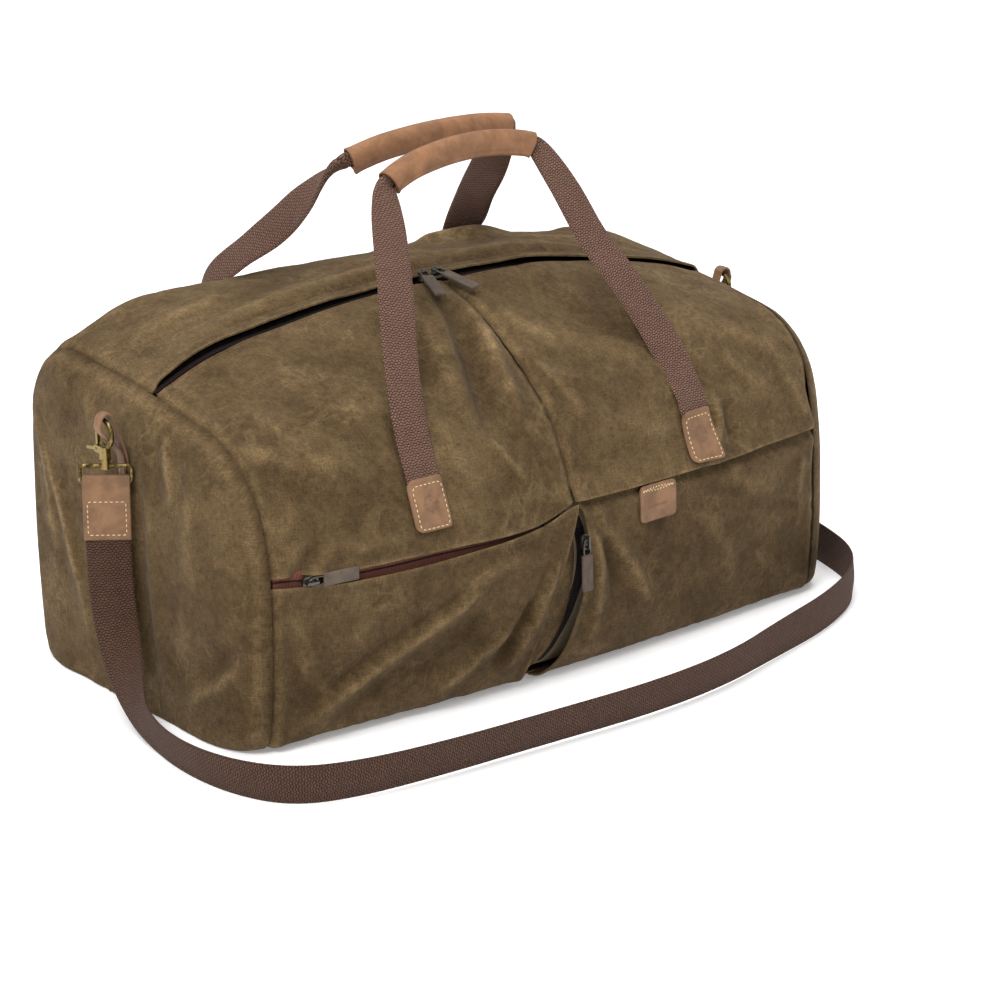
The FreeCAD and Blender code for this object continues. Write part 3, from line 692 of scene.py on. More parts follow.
# ---- stitches ------------------------------------------------------------------------
@dataclass
class Stitcher:
    """Rows of thread beads along a line on cloth or leather, in millimetres."""

    pitch: float = 4.6
    length: float = 3.4
    width: float = 0.9

    def row(self, name: str, lines: list[np.ndarray], normals: list[np.ndarray]) -> bpy.types.Object:
        """Lay one bead after another along each line.

        Args:
            name: the piece's name.
            lines: points of each row, in millimetres.
            normals: the surface's outward direction at each of those points.
        Returns:
            One mesh with every bead.
        """
        deselect()
        bpy.ops.mesh.primitive_ico_sphere_add(subdivisions=1, radius=0.5)
        bead = bpy.context.object
        bead.name = name
        bead.data.name = name
        shape = np.array([v.co[:] for v in bead.data.vertices])
        faces = np.array([p.vertices[:] for p in bead.data.polygons])
        points = []
        for line, normal in zip(lines, normals):
            step = np.linalg.norm(np.diff(line, axis=0), axis=1)
            run = np.concatenate([[0], np.cumsum(step)])
            count = max(1, int(run[-1] / self.pitch))
            spots = (np.arange(count) + 0.5) * run[-1] / count
            middle = np.stack([np.interp(spots, run, line[:, k]) for k in range(3)], 1)
            ahead = np.stack([np.interp(spots + 0.4, run, line[:, k]) for k in range(3)], 1)
            behind = np.stack([np.interp(spots - 0.4, run, line[:, k]) for k in range(3)], 1)
            up = unit(np.stack([np.interp(spots, run, normal[:, k]) for k in range(3)], 1))
            along = unit(ahead - behind)
            side = unit(np.cross(up, along))
            for m, a, b, c in zip(middle, along, side, up):
                points.append(m + shape[:, :1] * a * self.length + shape[:, 1:2] * b * self.width
                              + shape[:, 2:] * c * self.width * 0.8)
        vertices = np.concatenate(points) * MM
        every = np.concatenate([faces + i * len(shape) for i in range(len(points))])
        bead.data.clear_geometry()
        bead.data.from_pydata(vertices.tolist(), [], every.tolist())
        bead.data.update()
        smooth(bead, 80)
        return bead


# ---- shoulder strap ------------------------------------------------------------------
@dataclass
class ShoulderStrap:
    """The long webbing from hook to hook, lying on the ground in front of the bag."""

    width: float = 0.035
    thickness: float = 0.0018
    length: float = 1.294
    line: list[tuple[float, ...]] = field(init=False)
    # The line in metres with the direction across the webbing at each point.
    route: tuple = (
        ((-.324, -.006, .141), (.782, -.623, 0)), ((-.325, -.008, .104), (.78, -.62, .05)),
        ((-.327, -.020, .062), (.66, -.62, .42)), ((-.339, -.056, .029), (.25, -.36, .90)),
        ((-.352, -.100, .019), (-.20, -.10, .97)), ((-.359, -.152, .0177), (-.30, -.02, .95)),
        ((-.352, -.205, .0177), (-.26, -.12, .96)), ((-.328, -.248, .0177), (-.12, -.20, .97)),
        ((-.283, -.268, .0177), (0, -.26, .96)), ((-.205, -.277, .0177), (0, -.32, .95)),
        ((-.110, -.280, .0177), (0, -.34, .94)), ((-.010, -.284, .0177), (0, -.32, .95)),
        ((.076, -.276, .0177), (.04, -.26, .96)), ((.152, -.253, .0178), (.03, -.12, .99)),
        ((.226, -.232, .0178), (0, -.04, 1)), ((.286, -.202, .0178), (0, 0, 1)),
        ((.321, -.164, .0178), (0, 0, 1)), ((.337, -.118, .0178), (0, 0, 1)),
        ((.348, -.068, .0178), (.04, 0, 1)), ((.354, -.020, .020), (.10, -.20, .97)),
        ((.349, .008, .044), (.05, -.75, .66)), ((.334, .014, .082), (0, -.97, .22)),
        ((.325, .013, .118), (0, -1, .04)), ((.324, .013, .141), (0, -1, 0)))

    def _spline(self, points: list[tuple[float, float, float]]) -> np.ndarray:
        """The smooth NURBS line with those control points."""
        curve = bpy.data.curves.new("strap_line", "CURVE")
        curve.dimensions = "3D"
        spline = curve.splines.new("NURBS")
        spline.points.add(len(points) - 1)
        for target, point in zip(spline.points, points):
            target.co = (*point, 1.0)
        spline.order_u = 3
        spline.use_endpoint_u = True
        spline.resolution_u = 10
        holder = bpy.data.objects.new("strap_line", curve)
        bpy.context.scene.collection.objects.link(holder)
        bpy.context.view_layer.update()
        mesh = bpy.data.meshes.new_from_object(holder.evaluated_get(bpy.context.evaluated_depsgraph_get()))
        line = np.array([v.co[:] for v in mesh.vertices])
        bpy.data.meshes.remove(mesh)
        bpy.data.objects.remove(holder)
        bpy.data.curves.remove(curve)
        return line

    def build(self, finishes: Finishes) -> bpy.types.Object:
        """Make the strap.

        Args:
            finishes: the bag's finishes.
        Returns:
            The strap's mesh.
        """
        middle = self._spline([p for p, _ in self.route])
        edge = self._spline([tuple(a + b * 0.01 for a, b in zip(p, w)) for p, w in self.route])
        along = unit(np.gradient(middle, axis=0))
        across = edge - middle
        across = unit(across - along * np.sum(across * along, axis=1, keepdims=True))
        normal = np.cross(along, across)
        run = np.concatenate([[0], np.cumsum(np.linalg.norm(np.diff(middle, axis=0), axis=1))])
        rows = 460
        obj, u, v = lattice("strap_webbing", 44, rows)
        a, b, girth = flat_section(u, self.width, self.thickness)
        spot = v * run[-1]
        pick = [np.stack([np.interp(spot, run, rail[:, k]) for k in range(3)], 1)
                for rail in (middle, across, normal)]
        cup = 0.0006 * np.cos(np.clip(a / self.width, -0.5, 0.5) * math.pi * 2)
        points = pick[0] + unit(pick[1]) * a[:, None] + unit(pick[2]) * (b + cup)[:, None]
        points[:, 2] = np.maximum(points[:, 2], 0.0001)
        drape(obj, points, np.stack([girth, spot], 1))
        close_doubles(obj)
        smooth(obj, 60)
        bind(obj, finishes.strap, "bag_body", "shoulder_strap", slot="webbing")
        self.line = [tuple(p) for p in middle]
        return obj


def flat_section(u: np.ndarray, width: float, thickness: float) -> tuple[np.ndarray, np.ndarray, np.ndarray]:
    """The closed outline of a flat tape with round edges.

    Args:
        u: 0 to 1 once round the outline, starting at the back's middle.
        width: across the tape.
        thickness: through it.
    Returns:
        The place across, the place through and the distance round, for each u.
    """
    half, r = width / 2 - thickness / 2, thickness / 2
    stops = [0 * half, half, half + math.pi * r, 3 * half + math.pi * r,
             3 * half + 2 * math.pi * r, 4 * half + 2 * math.pi * r]
    s = u * stops[-1]
    turn_a = np.clip((s - stops[1]) / r, 0, math.pi)
    turn_b = np.clip((s - stops[3]) / r, 0, math.pi)
    a = (np.clip(s, 0, half) - (np.clip(s, stops[2], stops[3]) - stops[2])
         + np.clip(s, stops[4], stops[5]) - stops[4])
    a = a + r * np.sin(turn_a) - r * np.sin(turn_b)
    b = -r * np.cos(turn_a)
    b = np.where(s > stops[3], r * np.cos(turn_b), b)
    return a, b, s


# ---- the soft body -------------------------------------------------------------------
@dataclass(frozen=True)
class Fold:
    """A crease or ridge in the cloth: points along it in millimetres, its height and its half width."""

    line: Table
    lift: float
    width: float
    rub: float = 0.6


@dataclass(frozen=True)
class BodyForm:
    """The stuffed bag's outline at its two ends and its middle, in millimetres."""

    half_length: float = 282.0
    end_bulge: float = 24.0
    left: Table = ((-143, 0), (-157, 12), (-163, 58), (-164, 112), (-160, 160), (-140, 206), (-101, 234),
                   (-50, 243), (0, 250), (60, 254), (116, 255), (146, 235), (154, 197), (155, 120),
                   (151, 45), (146, 11), (135, 0))
    middle: Table = ((-152, 0), (-169, 14), (-178, 58), (-183, 104), (-177, 152), (-150, 210), (-112, 246),
                     (-60, 277), (0, 296), (60, 297), (112, 288), (147, 262), (160, 215), (165, 130),
                     (162, 50), (156, 13), (143, 0))
    right: Table = ((-141, 0), (-152, 12), (-156, 58), (-155, 108), (-151, 156), (-138, 204), (-106, 233),
                    (-52, 244), (0, 250), (58, 253), (106, 248), (138, 226), (150, 190), (153, 120),
                    (151, 45), (146, 11), (135, 0))
    # Soft humps and dips: x, place round the outline, their reach in both, and the shift in y and z.
    humps: Table = ((-205, 10.5, 62, 1.5, 3, 13), (18, 10.3, 75, 1.3, 0, -8), (104, 10.0, 34, 1.2, 1, 6),
                    (235, 10.4, 40, 1.5, 1, 7), (-232, 8.0, 46, 1.8, 0, 5), (20, 2.2, 120, 2.2, -2, 0),
                    (175, 5.6, 70, 1.4, -2, 4), (-190, 5.8, 70, 1.4, -2, 3))

    def at(self, x: np.ndarray, s: np.ndarray) -> np.ndarray:
        """Points of the body's surface.

        Args:
            x: places along the bag.
            s: places round the outline, from 0 at the front base edge to 16 at the back one.
        Returns:
            The points.
        """
        share = np.clip(np.abs(x) / self.half_length, 0, 1)
        full = 1 - share ** np.where(x < 0, 2.35, 2.05)
        ends = np.where((x < 0)[:, None], chain(np.array(self.left, float), s),
                        chain(np.array(self.right, float), s))
        inner = chain(np.array(self.middle, float), s)
        yz = ends + full[:, None] * (inner - ends)
        for x0, s0, reach, spread, dy, dz in self.humps:
            share = np.exp(-((x - x0) / reach) ** 2 - ((s - s0) / spread) ** 2)
            yz = yz + share[:, None] * np.array((dy, dz), float)
        return np.column_stack([x, yz])

    def normal(self, x: np.ndarray, s: np.ndarray) -> np.ndarray:
        """Outward directions of the body's surface."""
        around = self.at(x, np.minimum(s + 0.03, 16)) - self.at(x, np.maximum(s - 0.03, 0))
        reach = np.clip(x, -self.half_length + 1, self.half_length - 1)
        along = self.at(reach + 1, s) - self.at(reach - 1, s)
        return unit(np.cross(along, around))

    def place(self, x: np.ndarray, axis: int, target: np.ndarray, low: float, high: float) -> np.ndarray:
        """The place round the outline where one coordinate has a value.

        Args:
            x: places along the bag.
            axis: 1 for y, 2 for z.
            target: the value wanted at each of them.
            low: the lowest place to look at.
            high: the highest.
        Returns:
            The places round the outline.
        """
        a, b = np.full(len(x), low), np.full(len(x), high)
        rising = self.at(x, b)[:, axis] > self.at(x, a)[:, axis]
        for _ in range(22):
            mid = (a + b) / 2
            under = (self.at(x, mid)[:, axis] < target) == rising
            a, b = np.where(under, mid, a), np.where(under, b, mid)
        return (a + b) / 2


def along_curve(table: Table, where: np.ndarray) -> np.ndarray:
    """A smooth height line: the value over a place, from (place, value) pairs."""
    pairs = np.array(table, float)
    order = np.interp(where, pairs[:, 0], np.arange(len(pairs)))
    return chain(pairs[:, 1:], order)[:, 0]


def crease(points: np.ndarray, folds: tuple[Fold, ...],
           plane: tuple[int, int]) -> tuple[np.ndarray, np.ndarray]:
    """The lift and the wear that folds give to a surface.

    Args:
        points: the surface in millimetres.
        folds: the folds, drawn in the plane.
        plane: which two coordinates the folds are drawn in.
    Returns:
        The lift outward in millimetres, and the wear from -1 to 1.
    """
    lift, wear = np.zeros(len(points)), np.zeros(len(points))
    flat = points[:, plane]
    for fold in folds:
        line = chain(np.array(fold.line, float), np.linspace(0, len(fold.line) - 1, 24))
        best, share, side = np.full(len(flat), 1e9), np.zeros(len(flat)), np.zeros(len(flat))
        for i, (a, b) in enumerate(zip(line, line[1:])):
            t = np.clip(((flat - a) @ (b - a)) / max((b - a) @ (b - a), 1e-9), 0, 1)
            gap = flat - a - t[:, None] * (b - a)
            d = np.hypot(gap[:, 0], gap[:, 1])
            near = d < best
            best = np.where(near, d, best)
            share = np.where(near, (i + t) / 23, share)
            turn = np.sign((b - a)[0] * gap[:, 1] - (b - a)[1] * gap[:, 0])
            side = np.where(near, turn, side)
        fade = smoothstep(0, 0.22, share) * smoothstep(0, 0.3, 1 - share)
        width = fold.width * (0.75 + 0.5 * share) * np.where(side > 0, 1.25, 0.8)
        body = np.exp(-(best / width) ** 2) - 0.45 * np.exp(-((best - 2.1 * width) / width) ** 2)
        lift += fold.lift * fade * body
        wear += math.copysign(fold.rub, fold.lift) * fade * np.exp(-(best / (0.55 * width)) ** 2)
    return lift, wear


@dataclass
class Panel:
    """One cut of canvas: where it lies on the body, how its sides end, and its folds."""

    name: str
    left: Table                      # (share up the panel, x)
    right: Table
    bottom: Table                    # (x, height or depth)
    top: Table
    levels: tuple[tuple[int, float, float], tuple[int, float, float]]
    edges: tuple[Edge, Edge, Edge, Edge]      # left, right, bottom, top
    folds: tuple[Fold, ...] = ()
    plane: tuple[int, int] = (0, 2)
    lift: float = 0.0
    swell: float = 1.6
    ripple: float = 1.0
    thickness: float = 1.6
    cells: float = 2.6
    seed: float = 1.0
    # Painted shade over the whole panel, added to its hollow attribute.
    shade: float = 0.0
    gaps: tuple[np.ndarray, ...] = field(init=False)       # distance from each side, set as it is laid
    points: np.ndarray = field(init=False)
    outward: np.ndarray = field(init=False)

    def surface(self, form: BodyForm) -> tuple[bpy.types.Object, np.ndarray, np.ndarray, np.ndarray]:
        """Lay the panel's grid on the body.

        Args:
            form: the body.
        Returns:
            The object, its points, its outward directions and its cloth coordinates, in millimetres.
        """
        wide = abs(self.right[0][1] - self.left[0][1])
        columns = max(6, int(wide / self.cells))
        middle = np.array([(self.left[0][1] + self.right[0][1]) / 2])
        ends = [form.place(middle, axis, along_curve(table, middle), low, high)
                for table, (axis, low, high) in zip((self.bottom, self.top), self.levels)]
        trial = form.at(np.repeat(middle, 60), np.linspace(ends[0][0], ends[1][0], 60))
        tall = np.linalg.norm(np.diff(trial, axis=0), axis=1).sum()
        rows = max(4, int(tall / self.cells))
        obj, u, v = lattice(f"{self.name}_cloth", columns, rows)
        x = (1 - u) * along_curve(self.left, v) + u * along_curve(self.right, v)
        (axis_a, low_a, high_a), (axis_b, low_b, high_b) = self.levels
        start_s = form.place(x, axis_a, along_curve(self.bottom, x), low_a, high_a)
        end_s = form.place(x, axis_b, along_curve(self.top, x), low_b, high_b)
        s = start_s + v * (end_s - start_s)
        points, outward = form.at(x, s), form.normal(x, s)
        column = np.round(u * columns).astype(int)
        row = np.round(v * rows).astype(int)
        table = np.zeros((columns + 1, rows + 1, 3))
        table[column, row] = points
        rise = np.concatenate([np.zeros((columns + 1, 1)),
                               np.cumsum(np.linalg.norm(np.diff(table, axis=1), axis=2), axis=1)], axis=1)
        along = np.concatenate([np.zeros((1, rows + 1)),
                                np.cumsum(np.linalg.norm(np.diff(table, axis=0), axis=2), axis=0)], axis=0)
        self.gaps = (along[column, row], (along[-1] - along)[column, row],
                     rise[column, row], (rise[:, -1:] - rise)[column, row])
        return obj, points, outward, np.stack([x, rise[column, row]], 1)

    def build(self, form: BodyForm, finish: bpy.types.Material, body: str, *nodes: str,
              slot: str = "canvas", solid: bool = True) -> bpy.types.Object:
        """Make the panel.

        Args:
            form: the body that it lies on.
            finish: its cloth.
            body: what it rides on, or an empty word where it bends between two.
            nodes: the frame nodes that it stands for.
            slot: the record's material slot.
            solid: whether it gets its thickness.
        Returns:
            The piece.
        """
        obj, points, outward, cloth = self.surface(form)
        lift, wear = crease(points, self.folds, self.plane)
        # Painted shade: crease valleys and the panel's shade value go into the hollow attribute, which
        # darkens the cloth.
        hollow = np.clip(-lift / 6, 0, 1) * 0.6 + self.shade
        clear = np.full(len(points), 99.0)
        for gap, edge in zip(self.gaps, self.edges):
            near = np.exp(-(gap / 3.2) ** 2)
            if edge is Edge.SEAM:
                lift += -1.9 * near + 1.1 * np.exp(-((gap - 9) / 6) ** 2)
                wear += 0.32 * np.exp(-((gap - 5) / 3.2) ** 2)
                # Painted shade in the seam's groove.
                hollow += 0.6 * np.exp(-(gap / 1.2) ** 2)
                clear = np.minimum(clear, gap)
            elif edge is Edge.HEM:
                lift += 1.3 * np.exp(-(gap / 7) ** 2)
                wear += 0.5 * np.exp(-(gap / 2.2) ** 2)
            elif edge is Edge.TUCK:
                lift += -4.5 * np.exp(-(gap / 9) ** 2)
                # Painted shade where the cloth runs on under its neighbour.
                hollow += 0.6 * np.exp(-(gap / 6) ** 2)
        calm = 1 - 0.65 * np.exp(-(clear / 14) ** 2)
        soft = wrinkle(points, 86, self.seed) * 2.8 + wrinkle(points, 34, self.seed + 3) * 0.75
        fine = wrinkle(points, 13, self.seed + 7)
        pucker = np.exp(-(clear / 10) ** 2) * wrinkle(points, 8.5, self.seed + 5) * 0.9
        lift += self.ripple * (calm * soft + 0.16 * fine + pucker)
        wear += np.clip(fine * 0.3 + wrinkle(points, 22, self.seed + 9) * 0.3, -0.2, 0.4) * 0.35
        lift += self.lift * (1 - np.exp(-(clear / 9) ** 2))
        lift += self.swell * (1 - np.exp(-(clear / 30) ** 2)) if clear.min() < 90 else 0
        moved = points + outward * lift[:, None]
        moved[:, 2] = np.maximum(moved[:, 2], 0.3)
        drape(obj, moved * MM, cloth * MM)
        paint(obj, "rub", wear)
        paint(obj, "hollow", hollow)
        self.points, self.outward = moved, outward
        if solid:
            apply(obj, "SOLIDIFY", thickness=self.thickness * MM, offset=-1.0, use_even_offset=True)
            keep_above(obj, FLOOR_GAP)
        smooth(obj, 50)
        return bind(obj, finish, body, *nodes, slot=slot)


FRONT_LOW = (2, 0.0, 7.9)
FRONT_TOP = (1, 4.0, 9.5)
BACK_LOW = (2, 8.6, 16.0)


@dataclass
class BagBody:
    """The canvas body: panels, pockets, ends, base and lining."""

    form: BodyForm = BodyForm()
    seam_x: float = -1.5
    zip_front: float = -13.5
    flap_hem: float = -7.0
    rear_seam: float = 117.0
    pocket_top: Table = ((-282, 136), (-258, 134), (-218, 130.5), (-154, 130), (-78, 132.5),
                         (-38, 137), (-2, 147))
    left_hem: Table = ((-282, 143.5), (-258, 142.5), (-218, 139), (-154, 138.2), (-110, 137.6), (-78, 136.6),
                       (-45, 138), (-20, 143), (-2, 149))
    hem_low: Table = ((-2, 148.5), (80, 148), (130, 148.5), (160, 147.5), (210, 149), (282, 148))
    front_left: Panel = field(init=False)
    front_right: Panel = field(init=False)
    pocket_left: Panel = field(init=False)
    pocket_right: Panel = field(init=False)
    flap: Panel = field(init=False)
    back: Panel = field(init=False)
    front_pieces: list[bpy.types.Object] = field(init=False)
    flap_piece: bpy.types.Object = field(init=False)
    back_piece: bpy.types.Object = field(init=False)

    def build(self, finishes: Finishes) -> None:
        """Make every soft piece of the body."""
        cloth = finishes.canvas
        self._front(cloth, finishes.slit_shadow_cloth)
        self._pockets(cloth)
        self._top(cloth)
        self._back(cloth)
        for side in (-1, 1):
            self._end(side, cloth)
        self._base(cloth)
        self._lining(finishes.lining)

    def _front(self, cloth: bpy.types.Material, shadow: bpy.types.Material) -> None:
        """The two upper front panels, and the near-black cloth behind the pockets, painted shadow in the
        slit.
        """
        seam = self.seam_x
        zip_line = ((-282, self.zip_front), (282, self.zip_front))
        self.front_left = Panel(
            "front_panel_left", ((0, -281.5), (1, -281.5)), ((0, seam), (1, seam)),
            self.left_hem, zip_line, (FRONT_LOW, FRONT_TOP), (Edge.SEAM, Edge.SEAM, Edge.HEM, Edge.FLUSH), (
                Fold(((-24, 288), (-34, 272), (-46, 251), (-58, 228), (-64, 200)), -7.0, 9, 0.5),
                Fold(((-10, 286), (-18, 266), (-27, 242), (-33, 212)), 4.6, 7, 0.7),
                Fold(((-58, 284), (-70, 260), (-82, 230)), 3.4, 10, 0.45),
                Fold(((-66, 206), (-58, 196), (-50, 182), (-38, 168)), 2.2, 5, 0.6),
                Fold(((-266, 136), (-254, 146), (-242, 158), (-226, 174)), -4.6, 6, 0.3),
                Fold(((-272, 168), (-262, 184), (-246, 196)), 2.0, 9, 0.4),
                Fold(((-276, 232), (-252, 222), (-226, 214)), 2.0, 8, 0.5),
                Fold(((-250, 252), (-236, 236), (-222, 216), (-204, 200)), 1.8, 9, 0.4),
                Fold(((-214, 150), (-180, 156), (-150, 150)), 1.8, 10, 0.3),
                Fold(((-200, 250), (-170, 240), (-130, 238)), 1.6, 11, 0.4),
                Fold(((-110, 214), (-96, 190), (-92, 166)), 1.6, 9, 0.35)),
            seed=1.0)
        left = self.front_left.build(self.form, cloth, "bag_body", "front_panel_left")
        self.front_right = Panel(
            "front_panel_right", ((0, seam), (1, seam)), ((0, 281.5), (1, 281.5)),
            self.hem_low, zip_line, (FRONT_LOW, FRONT_TOP),
            (Edge.SEAM, Edge.SEAM, Edge.HEM, Edge.FLUSH), (
                Fold(((-60, 149), (0, 150), (140, 150), (282, 150), (340, 150)), 3.0, 9, 0.0),
                Fold(((163, 196), (160, 178), (150, 162), (136, 149)), 4.2, 7, 0.7),
                Fold(((176, 190), (178, 170), (184, 151)), -3.0, 8, 0.4),
                Fold(((12, 276), (26, 262), (48, 250)), 2.6, 8, 0.5),
                Fold(((10, 250), (22, 226), (30, 200)), 1.8, 9, 0.4),
                Fold(((64, 268), (92, 258), (126, 256)), -2.0, 10, 0.3),
                Fold(((200, 240), (228, 226), (262, 206)), 2.4, 9, 0.5),
                Fold(((186, 226), (206, 204), (222, 176)), 1.8, 11, 0.4),
                Fold(((60, 200), (84, 186), (112, 184)), 1.4, 12, 0.3),
                Fold(((250, 196), (262, 178), (270, 156)), 2.0, 7, 0.5)),
            lift=1.3, seed=2.0)
        right = self.front_right.build(self.form, cloth, "bag_body", "front_panel_right", "front_hem")
        self.front_pieces = [left, right]
        # Painted shadow: a near-black sheet with a full shade value, seen down the slit between the pockets.
        backing = Panel(
            "front_backing", ((0, -281), (1, -281)), ((0, 281), (1, 281)), ((-282, 3), (282, 3)),
            ((-282, 142), (282, 142)), (FRONT_LOW, FRONT_LOW),
            (Edge.FLUSH, Edge.FLUSH, Edge.FLUSH, Edge.FLUSH),
            (Fold(((-3, 148), (-8, 120), (-14, 90), (-26, 50), (-34, 6)), -9.0, 16, 0.2),),
            lift=-10.0, ripple=0.2, cells=5.0, seed=3.0, shade=1.2)
        backing.build(self.form, shadow, "bag_body")

    def _pockets(self, cloth: bpy.types.Material) -> None:
        """The two big front pockets with the gaping slit between them."""
        self.pocket_left = Panel(
            "front_pocket_left", ((0, -281.5), (1, -281.5)),
            ((0, -46), (0.2, -45), (0.4, -38), (0.6, -26), (0.8, -16), (1, -3)),
            ((-282, 2.5), (282, 2.5)), self.pocket_top, (FRONT_LOW, FRONT_LOW),
            (Edge.SEAM, Edge.HEM, Edge.SEAM, Edge.HEM), (
                Fold(((-100, 101), (-118, 91), (-144, 79), (-172, 66), (-222, 40), (-268, 14)), 5.0, 6, 1.0),
                Fold(((-24, 112), (-32, 92), (-42, 70), (-56, 44), (-70, 20)), 4.8, 5, 1.0),
                Fold(((-66, 64), (-92, 47), (-116, 32), (-144, 16)), 3.2, 6.5, 0.8),
                Fold(((-84, 90), (-108, 70), (-136, 52), (-170, 32)), -2.8, 8, 0.4),
                Fold(((-46, 84), (-62, 56), (-84, 28)), -3.4, 7, 0.4),
                Fold(((-190, 110), (-206, 92), (-226, 76)), 1.8, 9, 0.4),
                Fold(((-268, 118), (-258, 88), (-256, 56)), 1.8, 8, 0.5),
                Fold(((-246, 60), (-236, 34), (-240, 10)), 1.6, 8, 0.4),
                Fold(((-60, 118), (-90, 112), (-130, 106)), 1.5, 8, 0.4)),
            # shade: painted shade, the pocket darkened for the light falling from above.
            lift=1.2, swell=3.0, seed=4.0, shade=0.24)
        self.front_pieces.append(self.pocket_left.build(self.form, cloth, "bag_body", "front_pocket_left"))
        self.pocket_right = Panel(
            "front_pocket_right",
            ((0, -30), (0.15, -18), (0.33, -5), (0.5, 4), (0.68, 8.5), (0.85, 6.5), (1, 1)),
            ((0, 281.5), (1, 281.5)), ((-282, 2.5), (282, 2.5)),
            ((-2, 151), (140, 151), (282, 151)), (FRONT_LOW, FRONT_LOW),
            (Edge.HEM, Edge.SEAM, Edge.SEAM, Edge.FLUSH), (
                Fold(((-70, 146), (0, 146.5), (140, 147), (282, 147), (350, 147)), -3.2, 6, 0.1),
                Fold(((12, 143), (26, 122), (44, 97), (66, 64), (92, 24)), 4.8, 6, 0.95),
                Fold(((10, 134), (16, 108), (20, 80), (20, 50), (12, 14)), 3.4, 5.5, 0.8),
                Fold(((26, 138), (30, 110), (38, 76), (48, 40)), -3.6, 7, 0.4),
                Fold(((70, 128), (92, 104), (104, 74)), -2.2, 11, 0.3),
                Fold(((118, 120), (150, 90), (170, 56), (176, 24)), 1.8, 12, 0.4),
                Fold(((160, 140), (196, 118), (236, 108)), 1.8, 10, 0.4),
                Fold(((262, 132), (256, 100), (262, 60)), 1.8, 9, 0.5),
                Fold(((200, 60), (226, 36), (256, 22)), 1.5, 10, 0.4)),
            # shade: painted shade, the pocket darkened for the light falling from above.
            lift=0.2, swell=2.4, seed=5.0, shade=0.22)
        self.front_pieces.append(self.pocket_right.build(self.form, cloth, "bag_body", "front_pocket_right"))
        gusset = Panel(
            "centre_gusset", ((0, -60), (0.33, -54), (0.6, -42), (0.8, -28), (1, -14)),
            ((0, -37), (0.16, -24), (0.33, -9), (0.51, -1), (0.73, 2.5), (0.9, 0), (1, -4)),
            ((-282, 3), (282, 3)), ((-282, 143), (282, 143)), (FRONT_LOW, FRONT_LOW),
            (Edge.FLUSH, Edge.TUCK, Edge.FLUSH, Edge.FLUSH), lift=-2.6, ripple=0.5, swell=0.0, seed=6.0)
        gusset.build(self.form, cloth, "bag_body", "centre_gusset")

    def _top(self, cloth: bpy.types.Material) -> None:
        """The flap behind the zip: a raised hem in front and a bending rear edge."""
        self.flap = Panel(
            "top_flap", ((0, -281), (1, -281)), ((0, 281), (1, 281)),
            ((-282, self.flap_hem), (282, self.flap_hem)),
            ((-282, self.rear_seam), (282, self.rear_seam)), (FRONT_TOP, (1, 7.0, 12.5)),
            (Edge.SEAM, Edge.SEAM, Edge.HEM, Edge.SEAM), (
                Fold(((-272, 7.5), (-140, 7), (0, 7), (140, 7), (272, 7.5)), -1.9, 2.6, 0.2),
                Fold(((-240, 20), (-120, 22), (0, 22), (110, 22), (240, 18)), 2.6, 11, 0.4),
                Fold(((-262, 60), (-200, 50), (-140, 62)), 2.6, 12, 0.5),
                Fold(((-150, 96), (-90, 80), (-40, 92)), -3.2, 12, 0.3),
                Fold(((10, 104), (34, 82), (44, 56)), -4.2, 13, 0.3),
                Fold(((60, 106), (96, 90), (150, 96)), 3.6, 14, 0.5),
                Fold(((130, 60), (176, 48), (228, 58)), 2.6, 12, 0.5),
                Fold(((196, 104), (214, 76), (222, 44)), -3.0, 11, 0.3),
                Fold(((-60, 52), (-20, 40), (30, 46)), 1.8, 12, 0.4)),
            plane=(0, 1), lift=3.4, swell=2.0, seed=7.0)
        piece = self.flap.build(self.form, cloth, "", "top_flap")
        self.flap_piece = piece
        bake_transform(piece)

    def _back(self, cloth: bpy.types.Material) -> None:
        """The plain back panel."""
        self.back = Panel(
            "back_panel", ((0, 281.5), (1, 281.5)), ((0, -281.5), (1, -281.5)),
            ((-282, 2.5), (282, 2.5)), ((-282, self.rear_seam), (282, self.rear_seam)),
            (BACK_LOW, (1, 9.0, 13.5)), (Edge.SEAM, Edge.SEAM, Edge.SEAM, Edge.SEAM), (
                Fold(((-240, 60), (-150, 90), (-60, 70), (40, 96)), 3.2, 12, 0.5),
                Fold(((-200, 190), (-120, 170), (-30, 196)), 2.6, 12, 0.4),
                Fold(((60, 150), (140, 120), (230, 140)), 3.0, 12, 0.5),
                Fold(((90, 220), (160, 204), (220, 220)), -2.4, 12, 0.3),
                Fold(((-250, 226), (-220, 180), (-226, 120)), -2.6, 11, 0.3),
                Fold(((200, 96), (236, 50), (262, 18)), 3.0, 9, 0.5),
                Fold(((-60, 30), (30, 40), (120, 26)), 2.2, 10, 0.5),
                Fold(((-262, 110), (-240, 70), (-252, 30)), 2.6, 9, 0.5)),
            lift=0.6, swell=2.4, cells=3.0, seed=8.0)
        self.back_piece = self.back.build(self.form, cloth, "bag_body", "back_panel")

